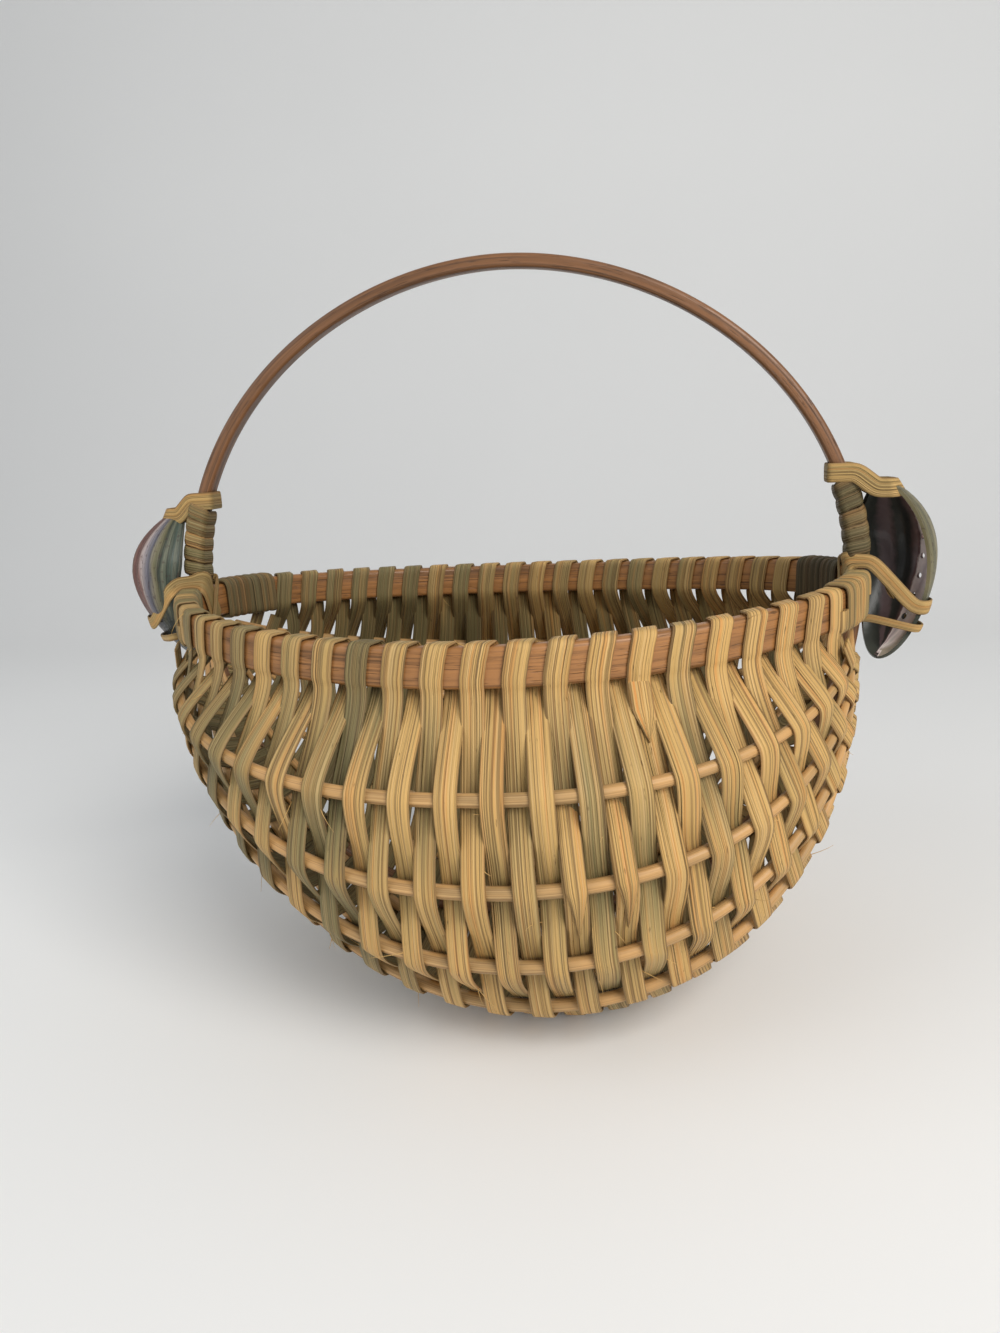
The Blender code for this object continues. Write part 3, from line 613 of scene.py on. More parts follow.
def hoop_finish(name, wood):
    """Bent wood: warm brown with a streaky lengthwise grain and short dark pores."""
    finish = Finish(name, 0.42, Specular_IOR_Level=0.45)
    along, across = finish.grain_place()
    broad = finish.noise(along * 7, across * 260, 1.1)
    base = finish.mix(finish.between(broad, 0.3, 0.75), shaded(wood, 1.30), shaded(wood, 0.68))
    lines = finish.noise(along * 16, across * 1250, 4.4, 4.0, 0.6)
    dark = finish.between(lines, 0.48, 0.70)
    base = finish.mix(dark * 0.75, base, shaded(wood, 0.30))
    pores = finish.streaks(along * 130, across * 2600, 7.7, 0.60, 0.72)
    base = finish.mix(pores * 0.65, base, shaded(wood, 0.16))
    pale = finish.streaks(along * 20, across * 1700, 15.0, 0.56, 0.76)
    finish.colour(finish.mix(pale * 0.30, base, shaded(wood, 1.9)))
    finish.roughness(0.36 + dark * 0.22)
    finish.bump(lines * -0.8 + pores * -0.6, 0.00025, 0.7)
    return finish.material


def shell_outer_finish():
    """The shell's back: bands of olive, speckled red-brown, pale, lavender and teal. Its foot is dark."""
    finish = Finish("shell_back", 0.45, Specular_IOR_Level=0.3, Coat_Weight=0.08, Coat_Roughness=0.3)
    along, across = finish.grain_place()
    wobble = finish.noise(along * 70, across * 260, 2.0, 3.0)
    place = across * (1 / SHELL_GIRTH) + (wobble - 0.5) * 0.09
    bands = [
        (0.00, (0.20, 0.175, 0.095)), (0.07, (0.115, 0.11, 0.065)), (0.13, (0.25, 0.22, 0.13)),
        (0.22, (0.09, 0.09, 0.055)), (0.38, (0.16, 0.085, 0.065)), (0.56, (0.155, 0.065, 0.055)),
        (0.60, (0.20, 0.10, 0.085)), (0.63, (0.40, 0.33, 0.31)), (0.67, (0.22, 0.20, 0.225)),
        (0.72, (0.085, 0.085, 0.115)), (0.75, (0.21, 0.185, 0.125)), (0.79, (0.13, 0.12, 0.06)),
        (0.83, (0.03, 0.04, 0.03)), (0.86, (0.14, 0.15, 0.105)), (0.90, (0.035, 0.055, 0.042)),
        (0.94, (0.085, 0.11, 0.09)), (1.00, (0.012, 0.018, 0.014)),
    ]
    shell = finish.ramp(place, bands)
    streaks = finish.streaks(along * 25, across * 1500, 11.0, 0.46, 0.74, 3.0)
    shell = finish.mix(streaks * 0.30, shell, SHELL_CHALK)
    grooves = finish.streaks(along * 20, across * 1900, 14.0, 0.54, 0.70)
    shell = finish.mix(grooves * 0.55, shell, SHELL_GROOVE)
    specks = finish.streaks(along * 520, across * 620, 31.0, 0.58, 0.68)
    shell = finish.mix(specks * 0.5, shell, SHELL_SPECK)
    foot = finish.between(along * -1.0, 0.004, 0.014)
    finish.colour(finish.mix(foot * 0.85, shell, SHELL_FOOT))
    finish.roughness(0.46 - foot * 0.24)
    finish.bump(streaks - grooves + wobble * 0.5, 0.0004, 0.7)
    return finish.material


def shell_nacre_finish(colours):
    """The shell's hollow: a pearly pink edge, then dark green-black painted shadow beside the handle, with a
    mauve streak.
    """
    finish = Finish("shell_nacre", 0.36, Specular_IOR_Level=0.35, Coat_Weight=0.1, Coat_Roughness=0.2)
    along, across = finish.grain_place()
    ripple = finish.noise(along * 260, across * 200, 4.0, 3.0)
    place = across * (1 / SHELL_GIRTH) + (ripple - 0.5) * 0.10
    # From about 0.47 on, the side beside the handle is painted shadow in dark green-black, with a mauve streak
    hollow = [
        (0.00, (0.34, 0.29, 0.22)), (0.10, colours.nacre), (0.22, (0.93, 0.81, 0.77)),
        (0.34, (0.50, 0.42, 0.42)), (0.44, colours.nacre), (0.47, (0.13, 0.075, 0.07)),
        (0.55, (0.025, 0.025, 0.023)), (0.66, (0.028, 0.03, 0.026)), (0.72, (0.115, 0.08, 0.08)),
        (0.80, (0.10, 0.07, 0.072)), (0.86, (0.022, 0.026, 0.022)), (1.00, (0.05, 0.055, 0.045)),
    ]
    nacre_with_painted_shadow = finish.ramp(place, hollow)
    lustre = finish.streaks(along * 90, across * 160, 8.0, 0.45, 0.70)
    lit = finish.between(place, 0.46, 0.40)
    finish.colour(finish.mix(lustre * lit * 0.5, nacre_with_painted_shadow, NACRE_LUSTRE))
    finish.bump(ripple, 0.0005, 0.5)
    return finish.material


def floor_finish(colours):
    """Plain pale floor and backdrop, matt and very slightly uneven."""
    finish = Finish("pale_floor", 0.85, Specular_IOR_Level=0.2)
    place = finish.node("ShaderNodeTexCoord", {}, {}, 3)
    inputs = {"Vector": place, "Scale": 3.0, "Detail": 2.0}
    cloud = finish.node("ShaderNodeTexNoise", {}, inputs)
    finish.colour(finish.mix(cloud, colours.floor, shaded(colours.floor, FLOOR_SHADE_SHARE)))
    return finish.material


def woven_finish(colours):
    """The reed of the weave, made once and shared."""
    return bpy.data.materials.get("woven_reed") or reed_finish("woven_reed", colours, 0.0, 0.0)


def deselect():
    bpy.ops.object.select_all(action="DESELECT")


def open_edit(choice="SELECT"):
    """Opens the active piece in edit mode, with all of it selected or none."""
    bpy.ops.object.mode_set(mode="EDIT")
    bpy.ops.mesh.select_all(action=choice)


def close_edit():
    bpy.ops.object.mode_set(mode="OBJECT")


def apply_modifier(piece, kind, **settings):
    """Adds a modifier with its settings and applies it."""
    modifier = piece.modifiers.new(kind.lower(), kind)
    for key, value in settings.items():
        setattr(modifier, key, value)
    deselect()
    bpy.context.view_layer.objects.active = piece
    piece.select_set(True)
    bpy.ops.object.modifier_apply(modifier=modifier.name)


def finish_piece(piece, name, nodes, slot, *materials):
    """Names a piece, puts its place in its mesh, gives it its materials, parents it to the root body and hides
    the solids that it stands for.
    """
    piece.name = name
    piece.data.name = name
    piece.data.transform(Matrix.Translation(MIDDLE))
    for material in materials:
        piece.data.materials.append(material)
    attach(piece, "root")
    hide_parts(*nodes)
    return piece


def fresh_grain(mesh):
    """An empty grain map in place of any maps the mesh has."""
    while mesh.uv_layers:
        mesh.uv_layers.remove(mesh.uv_layers[0])
    return mesh.uv_layers.new(name="grain")


def write_point_values(mesh, name, values):
    attribute = mesh.attributes.new(name, "FLOAT", "POINT")
    attribute.data.foreach_set("value", values)


def piece_from(name, points, faces, grain):
    """A mesh object from points and faces. The grain holds a map place for each corner of each face."""
    mesh = bpy.data.meshes.new(name)
    mesh.from_pydata(points, [], faces)
    layer = mesh.uv_layers.new(name="grain")
    layer.data.foreach_set("uv", [number for place in grain for number in place])
    mesh.shade_smooth()
    piece = bpy.data.objects.new(name, mesh)
    bpy.context.scene.collection.objects.link(piece)
    return piece


# One cut across a reed: its middle, the way to its edge, half its width and how green it is, with painted shade
# added behind a member
Sample = namedtuple("Sample", "place edge half_width shade")


def strip_piece(name, samples, thickness, start_mark, fullness=REED_FULLNESS, sides=REED_SIDES, closed=False):
    """A reed with rounded edges, lofted through its samples, as no primitive bends over its neighbours."""
    points, shades, inners, edges, marks = [], [], [], [], [start_mark]
    count = len(samples)
    section = [superellipse(1, 1, fullness, 2 * math.pi * side / sides) for side in range(sides)]
    for index, sample in enumerate(samples):
        before = samples[(index - 1) % count if closed else max(index - 1, 0)]
        after = samples[(index + 1) % count if closed else min(index + 1, count - 1)]
        run = (after.place - before.place).normalized()
        edge = (sample.edge - run * sample.edge.dot(run)).normalized()
        face = run.cross(edge)
        facing = face.dot(sample.place.normalized())
        if index:
            marks.append(marks[-1] + (sample.place - samples[index - 1].place).length)
        for wide, thick in section:
            points.append(sample.place + edge * wide * sample.half_width + face * thick * thickness / 2)
            shades.append(sample.shade)
            # How far a point faces into the basket, which the finish darkens as painted shade
            inners.append(0.5 - 0.5 * thick * facing)
            edges.append(abs(wide))
    if closed:
        marks.append(marks[-1] + (samples[0].place - samples[-1].place).length)
    faces, grain = [], []
    across = [0.0]
    for side in range(sides):
        wide, thick = section[side]
        next_wide, next_thick = section[(side + 1) % sides]
        step = math.hypot((next_wide - wide) * samples[0].half_width, (next_thick - thick) * thickness / 2)
        across.append(across[-1] + step)
    for index in range(count if closed else count - 1):
        ring, following = index * sides, (index + 1) % count * sides
        for side in range(sides):
            other = (side + 1) % sides
            faces.append((ring + side, ring + other, following + other, following + side))
            grain += [(marks[index], across[side]), (marks[index], across[side + 1])]
            grain += [(marks[index + 1], across[side + 1]), (marks[index + 1], across[side])]
    if not closed:
        last = (count - 1) * sides
        faces.append(tuple(range(sides - 1, -1, -1)))
        faces.append(tuple(range(last, last + sides)))
        grain += [(marks[0], across[side]) for side in range(sides - 1, -1, -1)]
        grain += [(marks[-1], across[side]) for side in range(sides)]
    piece = piece_from(name, points, faces, grain)
    write_point_values(piece.data, "shade", shades)
    write_point_values(piece.data, "inner", inners)
    write_point_values(piece.data, "edge", edges)
    piece.data.set_sharp_from_angle(angle=REED_SHARP_ANGLE)
    return piece


def lay_grain(piece, line, closed, place_across, girth):
    """Writes a map in metres: along the line, and across it as place_across says of a point's offset."""
    mesh = piece.data
    path = Path(line)
    tree = KDTree(len(line))
    for index, point in enumerate(line):
        tree.insert(point, index)
    tree.balance()
    total = path.marks[-1] + (line[0] - line[-1]).length if closed else path.marks[-1]
    places = []
    for vertex in mesh.vertices:
        _, index, _ = tree.find(vertex.co)
        run = (line[(index + 1) % len(line)] - line[index - 1]).normalized()
        offset = vertex.co - line[index]
        places.append((path.marks[index] + offset.dot(run), place_across(index, offset, run)))
    layer = fresh_grain(mesh)
    for face in mesh.polygons:
        first_along, first_across = places[face.vertices[0]]
        for loop, vertex in zip(face.loop_indices, face.vertices):
            along, across = places[vertex]
            if closed and abs(along - first_along) > total / 2:
                along += math.copysign(total, first_along - along)
            if girth and abs(across - first_across) > girth / 2:
                across += math.copysign(girth, first_across - across)
            layer.data[loop].uv = (along, across)


def bent_hoop(line, across, width, thickness, edge_radius):
    """A ring of the line's points, drawn out to the hoop's width, thickened and rounded along its edges."""
    deselect()
    bpy.ops.mesh.primitive_circle_add(vertices=len(line), radius=HOOP_HALF_WIDTH)
    hoop = bpy.context.object
    for vertex, point in zip(hoop.data.vertices, line):
        vertex.co = point - across * width / 2
    open_edit()
    drawn_out = {"value": across * width}
    bpy.ops.mesh.extrude_region_move(TRANSFORM_OT_translate=drawn_out)
    bpy.ops.mesh.select_all(action="SELECT")
    bpy.ops.mesh.normals_make_consistent(inside=False)
    close_edit()
    apply_modifier(hoop, "SOLIDIFY", thickness=thickness, offset=0, use_even_offset=True)
    apply_modifier(
        hoop, "BEVEL", width=edge_radius, segments=HOOP_EDGE_STEPS, limit_method="ANGLE",
        angle_limit=BEVEL_FROM_ANGLE)
    return hoop


def cut_lap(hoop, inner, outer, half_across, half_up):
    """Halves a hoop where the other one crosses it."""
    deselect()
    middle = Vector(((inner + outer) / 2, 0, JOINT_HEIGHT))
    bpy.ops.mesh.primitive_cube_add(size=1, location=middle)
    cutter = bpy.context.object
    cutter.scale = (abs(outer - inner), 2 * half_across, 2 * half_up)
    bpy.context.view_layer.update()
    apply_modifier(hoop, "BOOLEAN", operation="DIFFERENCE", solver="EXACT", object=cutter)
    bpy.data.objects.remove(cutter)


def add_hoops(sizes, colours):
    half_up = RIM_WIDTH / 2 + 2 * LAP_CLEARANCE
    half_across = UPRIGHT_WIDTH / 2 + 2 * LAP_CLEARANCE
    lap_plane = HOOP_HALF_WIDTH - UPRIGHT_THICKNESS / 2
    upright = KEEL.points[:-1] + HANDLE.points[:0:-1]
    level = RIM.points[:-1] + [turned_about(point) for point in RIM.points[:-1]]
    handle = bent_hoop(upright, FRONT_TO_BACK, UPRIGHT_WIDTH, UPRIGHT_THICKNESS, sizes.hoop_edge)
    rim = bent_hoop(level, UP, RIM_WIDTH, RIM_THICKNESS, sizes.hoop_edge)
    for side in (-1, 1):
        face = lap_plane + LAP_CLEARANCE / 2
        cut_lap(handle, side * (lap_plane - UPRIGHT_THICKNESS), side * face, UPRIGHT_WIDTH, half_up)
        face = lap_plane - LAP_CLEARANCE / 2
        cut_lap(rim, side * face, side * (lap_plane + RIM_THICKNESS), half_across, RIM_WIDTH)

    def across_handle(index, offset, run):
        return offset.y + offset.dot(run.cross(FRONT_TO_BACK))

    def across_rim(index, offset, run):
        return offset.z + offset.dot(run.cross(UP))

    lay_grain(handle, upright, True, across_handle, 0)
    lay_grain(rim, level, True, across_rim, 0)
    for hoop in (handle, rim):
        hoop.data.shade_smooth()
        hoop.data.set_sharp_from_angle(angle=HOOP_SHARP_ANGLE)
    wood = hoop_finish("handle_hoop_wood", colours.handle_wood)
    finish_piece(handle, "bent_handle", ["handle_hoop"], "handle_wood", wood)
    finish_piece(rim, "bent_rim", ["rim_hoop"], "rim_wood", hoop_finish("rim_hoop_wood", colours.rim_wood))


def add_rib(path, turned, radius):
    """A pointed round reed: a curve with the rib's radius at each point, made a mesh."""
    line = evenly_spaced(path.points, RIB_RINGS)
    drawn = Path(line)
    if turned:
        line = [turned_about(point) for point in line]
    deselect()
    bpy.ops.curve.primitive_nurbs_path_add()
    rib = bpy.context.object
    curve = rib.data
    curve.splines.clear()
    spline = curve.splines.new("POLY")
    spline.points.add(len(line) - 1)
    for index, point in enumerate(line):
        spline.points[index].co = (*point, 1)
        spline.points[index].radius = rib_radius_at(drawn, drawn.marks[index] - drawn.middle, radius) / radius
    curve.dimensions = "3D"
    curve.bevel_depth = radius
    curve.bevel_resolution = RIB_BEVEL_STEPS
    curve.use_fill_caps = True
    bpy.ops.object.convert(target="MESH")
    rib = bpy.context.object
    open_edit()
    bpy.ops.mesh.remove_doubles(threshold=MERGE_DISTANCE)
    close_edit()

    def across(index, offset, run):
        level = run.cross(UP).normalized()
        return math.atan2(offset.dot(run.cross(level)), offset.dot(level)) * radius

    lay_grain(rib, line, False, across, 2 * math.pi * radius)
    rib.data.shade_smooth()
    rib.data.set_sharp_from_angle(angle=REED_SHARP_ANGLE)
    return rib


def add_ribs(sizes, colours):
    cane = rib_finish(colours)
    for index, path in enumerate(RIBS):
        for turned, lobe in ((False, "front"), (True, "back")):
            rib = add_rib(path, turned, sizes.rib_radius)
            name = f"{lobe}_rib_{index + 1}"
            finish_piece(rib, "round_" + name, [name], "rib_reed", cane)


def along(path, step, widest_pitch, bare_end, side):
    """Where a pass crosses a member: evenly in the middle, opening out toward a long member's ends."""
    room = path.reach(step * side) - bare_end
    pitch = min(widest_pitch, room / LAST_STEP)
    spare = room - pitch * LAST_STEP
    return side * (pitch * step + math.copysign(spare, step) * abs(step / LAST_STEP) ** 3)


def along_rim(step):
    return along(RIM, step, RIM_PITCH, RIM_BARE_END, 1)


class Crossing:
    """A place where a pass of reed crosses a rib or an edge of the keel."""

    def __init__(self, path, step, pitch, bare_end, turned, shift=Vector(), slip=0.0):
        side = -1 if turned else 1
        self.distance = along(path, step, pitch, bare_end, side)
        nearer = along(path, step - math.copysign(1, step), pitch, bare_end, side)
        self.room = abs(self.distance - nearer)
        self.centre = path.point(self.distance + slip)
        self.edge = path.tangent(self.distance)
        if turned:
            self.centre = turned_about(self.centre)
            self.edge = -turned_about(self.edge)
        self.centre += shift
        self.offset = 0.0
        self.turn_radius = EDGE_TURN_RADIUS
        self.outside = True
        self.on_keel = False


# Where a reed passes a member: its place, the way it runs, its edge, the wall's outward direction, the room
# beside it, how tightly it turns, the least it runs straight on, and whether it lies behind the member
Knot = namedtuple("Knot", "place run edge outward room turn_radius least_pull recessed")


def pass_crossings(number, sizes, chance):
    """All crossings of one pass from the front rim under the basket to the back rim."""
    step = number - LAST_STEP
    outside = number % 2 == 1
    below = -UP * RIM_WIDTH / 2
    half_reed = sizes.reed_thickness / 2 + REED_GAP
    crossings = [Crossing(RIM, step, RIM_PITCH, RIM_BARE_END, False, below)]
    for turned in (False, True):
        ribs = []
        for index, rib in enumerate(RIBS):
            slip = chance.uniform(-1, 1) * REED_SLIP
            crossing = Crossing(rib, step, RIB_PITCH, RIB_BARE_END, turned, slip=slip)
            radius = rib_radius_at(rib, crossing.distance, sizes.rib_radius)
            crossing.offset = radius + half_reed
            crossing.turn_radius = radius + half_reed
            crossing.outside = outside == (index % 2 == 1)
            ribs.append(crossing)
        if turned:
            for edge in (-1, 1):
                shift = FRONT_TO_BACK * edge * UPRIGHT_WIDTH / 2
                crossing = Crossing(KEEL, step, RIB_PITCH, KEEL_BARE_END, False, shift)
                crossing.offset = UPRIGHT_THICKNESS / 2 + half_reed
                crossing.outside = outside == (RIBS_EACH_SIDE % 2 == 1)
                crossing.on_keel = True
                crossings.append(crossing)
            ribs.reverse()
        crossings += ribs
    crossings.append(Crossing(RIM, step, RIM_PITCH, RIM_BARE_END, True, below))
    return crossings


def pass_knots(number, sizes, chance):
    """The knots of one pass between the rims, front to back."""
    crossings = pass_crossings(number, sizes, chance)
    knots = []
    for before, crossing, after in zip(crossings, crossings[1:], crossings[2:]):
        way = FRONT_TO_BACK if crossing.on_keel else after.centre - before.centre
        outward = crossing.edge.cross(way).normalized()
        if outward.dot(crossing.centre) < 0:
            outward.negate()
        run = outward.cross(crossing.edge).normalized()
        if run.dot(way) < 0:
            run.negate()
        place = crossing.centre + outward * crossing.offset * (1 if crossing.outside else -1)
        knots.append(Knot(
            place, run, crossing.edge, outward, crossing.room, crossing.turn_radius, LEAST_PULL,
            not crossing.outside))
    return knots


def wrap_section(from_outside, half_reed):
    """The reed's way round the rim's section, with the share of the whole way done at each place."""
    half_across, half_up = RIM_THICKNESS / 2 + half_reed, RIM_WIDTH / 2 + half_reed
    section = []
    for index in range(WRAP_STEPS + 1):
        angle = -WRAP_REACH + (math.pi + 2 * WRAP_REACH) * index / WRAP_STEPS
        if not from_outside:
            angle = math.pi - angle
        out, over = superellipse(half_across, half_up, WRAP_FULLNESS, angle)
        section.append(Vector((out, over, 0)))
    marks = [0.0]
    for before, after in zip(section, section[1:]):
        marks.append(marks[-1] + (after - before).length)
    return [(place.x, place.y, mark / marks[-1]) for place, mark in zip(section, marks)]


def rim_wrap(step, next_step, from_outside, turned, sizes):
    """The reed's way over the rim from one pass to the next, from low on one face to low on the other."""
    half_reed = sizes.reed_thickness / 2 + REED_GAP
    start, end = along_rim(step), along_rim(next_step)
    room = abs(start - along_rim(step - math.copysign(1, step)))
    places = []
    for out, over, share in wrap_section(from_outside, half_reed):
        distance = start + (end - start) * eased(share)
        if turned:
            distance = -distance
        tangent = RIM.tangent(distance)
        outward = tangent.cross(UP).normalized()
        point = RIM.point(distance) + outward * out + UP * over
        if turned:
            point = turned_about(point)
            tangent = -turned_about(tangent)
            outward = turned_about(outward)
        places.append((point, tangent, outward))
    return places, room


def wrap_knot(wrap, at_end):
    """The knot where a reed leaves the rim, or comes to it."""
    places, room = wrap
    first, second = (places[-2], places[-1]) if at_end else (places[0], places[1])
    point, edge, outward = second if at_end else first
    run = (second[0] - first[0]).normalized()
    return Knot(point, run, edge, outward, room, EDGE_TURN_RADIUS, RIM_LEAVING_PULL, False)


def reed_span(first, last, width, shades, lean):
    """The reed's smooth way between two knots, without its first point."""
    chord = last.place - first.place
    length = chord.length
    pulls = []
    for knot in (first, last):
        pull = math.sqrt(6 * abs(chord.dot(knot.outward)) * knot.turn_radius) / length
        pulls.append(min(max(pull, knot.least_pull), MOST_PULL) * length)
    count = max(4, round(length / RING_STEP))
    samples = []
    for index in range(1, count + 1):
        share = index / count
        leaving = share * (1 - share) ** 2
        coming = share * share * (share - 1)
        place = first.place.lerp(last.place, eased(share))
        place += first.run * pulls[0] * leaving + last.run * pulls[1] * coming
        edge = first.edge.lerp(last.edge, share)
        edge += first.outward.lerp(last.outward, share) * math.tan(lean) * math.sin(math.pi * share)
        room = first.room + (last.room - first.room) * share
        shade = shades[0] + (shades[1] - shades[0]) * share
        samples.append(Sample(place, edge, min(width, room + REED_OVERLAP) / 2, shade))
    return samples


def ends_reed(number):
    """Reeds end on odd passes only, so spaced that every reed has about as many passes."""
    if number % 2 == 0 or number == PASS_COUNT - 1:
        return False
    return int((number + 1) * REED_COUNT / PASS_COUNT) > int((number - 1) * REED_COUNT / PASS_COUNT)


def woven_reeds(sizes):
    """The samples of each reed: to and fro under the basket, over and under the ribs, and round the rim."""
    chance = random.Random(WEAVE_SEED)
    reeds = []
    wrap = rim_wrap(-LAST_STEP, -LAST_STEP, True, False, sizes)
    shade = FIRST_SHADE
    samples = wrap_samples(wrap, sizes, shade)
    for number in range(PASS_COUNT):
        outside = number % 2 == 1
        step = number - LAST_STEP
        knots = pass_knots(number, sizes, chance)
        if outside:
            knots.reverse()
            for knot in knots:
                knot.run.negate()
        next_wrap = rim_wrap(step, min(step + 1, LAST_STEP), outside, not outside, sizes)
        chain = [wrap_knot(wrap, True)] + knots + [wrap_knot(next_wrap, False)]
        width = sizes.reed_width * chance.uniform(*WIDTH_SHARES)
        middle_shade = clamped(MIDDLE_SHADE - SHADE_FALL * step / LAST_STEP + chance.uniform(*PASS_SHADES))
        for index, (first, last) in enumerate(zip(chain, chain[1:])):
            next_shade = clamped(middle_shade + chance.uniform(*SPAN_SHADES))
            # Painted shade behind the member that the reed passes under
            if last.recessed:
                next_shade += RECESS_PAINTED_SHADE
            lean = REED_LEAN * chance.uniform(*LEAN_SHARES)
            span = reed_span(first, last, width, (shade, next_shade), lean)
            shade = next_shade
            if index == RIBS_EACH_SIDE + 1 and ends_reed(number):
                half = len(span) // 2
                reeds.append(samples + span[:half])
                samples = span[half:]
            else:
                samples += span
        wrap = next_wrap
        samples += wrap_samples(wrap, sizes, shade)[1:]
    reeds.append(samples)
    return reeds


def wrap_samples(wrap, sizes, shade):
    """The reed over the rim, at its full width on top and crowded by its neighbours on both faces."""
    places, room = wrap
    samples = []
    for index, (point, edge, _) in enumerate(places):
        share = index / WRAP_STEPS
        crowded = min(sizes.reed_width, room + REED_OVERLAP) / 2
        half_width = crowded + (sizes.reed_width / 2 - crowded) * math.sin(math.pi * share)
        samples.append(Sample(point, edge, half_width, shade))
    return samples


def tail_samples(number, above, sizes):
    """A reed's pointed end, lying on the pass that takes over from it."""
    step = number - LAST_STEP
    top = wrap_knot(rim_wrap(step, step + 1, True, False, sizes), False)
    top.run.negate()
    chain = [top] + pass_knots(number, sizes, random.Random(number))
    first, last = chain[above], chain[above + 1]
    width = sizes.reed_width * TAIL_WIDTH_SHARE
    shades = (TAIL_SHADE, TAIL_SHADE)
    span = reed_span(first, last, width, shades, 0.0)
    if above:
        below = reed_span(last, chain[above + 2], width, shades, 0.0)
        span += below[:round(len(below) * TAIL_SHARE)]
    else:
        span = span[:round(len(span) * TAIL_SHARE)]
    samples = []
    for index, sample in enumerate(span):
        share = index / (len(span) - 1)
        lift = sizes.reed_thickness * TAIL_LIFT_SHARE * min(share / TAIL_RISE_SHARE, 1)
        outward = first.outward.lerp(last.outward, share)
        half_width = sample.half_width * min((1 + TAIL_TIP_SHARE - share) / TAIL_POINT_SHARE, 1)
        samples.append(Sample(sample.place + outward * lift, sample.edge, half_width, sample.shade))
    return samples


def add_tails(sizes, colours):
    material = woven_finish(colours)
    for index, (number, above) in enumerate(REED_TAILS):
        samples = tail_samples(number, above, sizes)
        tail = strip_piece("tail", samples, sizes.reed_thickness * TAIL_THICKNESS_SHARE, TAIL_MARK + index)
        finish_piece(tail, f"reed_end_{index + 1}", [], "flat_reed", material)


def joint_reed_samples(number, sizes):
    """A short reed beside a joint, from under one side of the rim, below the basket, to the other side."""
    chance = random.Random(number)
    knots = pass_knots(number, sizes, chance)
    first, last = knots[0], knots[-1]
    shade = chance.uniform(*JOINT_REED_SHADES)
    half_width = sizes.reed_width / 2
    samples = [Sample(first.place - first.run * JOINT_REED_END, first.edge, half_width, shade)]
    samples.append(Sample(first.place, first.edge, half_width, shade))
    for knot, following in zip(knots, knots[1:]):
        samples += reed_span(knot, following, sizes.reed_width, (shade, shade), REED_LEAN)
    samples.append(Sample(last.place + last.run * JOINT_REED_END, last.edge, half_width, shade))
    return samples


def add_joint_reeds(sizes, colours):
    material = woven_finish(colours)
    for index, number in enumerate(JOINT_REEDS):
        samples = joint_reed_samples(number, sizes)
        reed = strip_piece("reed", samples, sizes.reed_thickness, JOINT_REED_MARK + index)
        finish_piece(reed, f"joint_reed_{index + 1}", [], "flat_reed", material)


def add_weave(sizes, colours):
    material = woven_finish(colours)
    mark = 0.0
    for index, samples in enumerate(woven_reeds(sizes)):
        reed = strip_piece("reed", samples, sizes.reed_thickness, mark)
        mark += REED_MARK_STEP
        finish_piece(reed, f"flat_reed_{index + 1}", [f"weaver_{index + 1}"], "flat_reed", material)
    add_tails(sizes, colours)
    add_joint_reeds(sizes, colours)


def wound_samples(path, section, start, length, turns, side, across, turned, chance):
    """One unbroken strip wound round a hoop, its turns a little uneven."""
    pitch = length / (turns + BINDING_SPARE_TURN)
    half_width = pitch * BINDING_HALF_WIDTH_SHARE
    thickness, width = section
    depth = thickness / 2 + REED_GAP + BINDING_THICKNESS / 2
    reach = width / 2 + REED_GAP + BINDING_THICKNESS / 2
    slips = [chance.uniform(-BINDING_SLIP_SHARE, BINDING_SLIP_SHARE) * pitch for _ in range(turns + 2)]
    samples = []
    for step in range(turns * TURN_STEPS + 1):
        turn = step / TURN_STEPS
        whole, part = int(turn), turn - int(turn)
        slip = slips[whole] + (slips[whole + 1] - slips[whole]) * part
        distance = side * (path.reach(side) - start - half_width - turn * pitch - slip)
        tangent = path.tangent(distance)
        outward = tangent.cross(across).normalized()
        middle = path.point(distance)
        outward = outward if outward.dot(middle) > 0 else -outward
        out, over = superellipse(depth, reach, BINDING_ROUND_FULLNESS, 2 * math.pi * turn)
        point = middle + outward * out + across * over
        if turned:
            point = turned_about(point)
            tangent = turned_about(tangent)
        shade = BINDING_SHADE + BINDING_SHADE_SWING * math.sin(BINDING_SHADE_STEP * whole + part)
        samples.append(Sample(point, tangent, half_width, shade))
    return samples


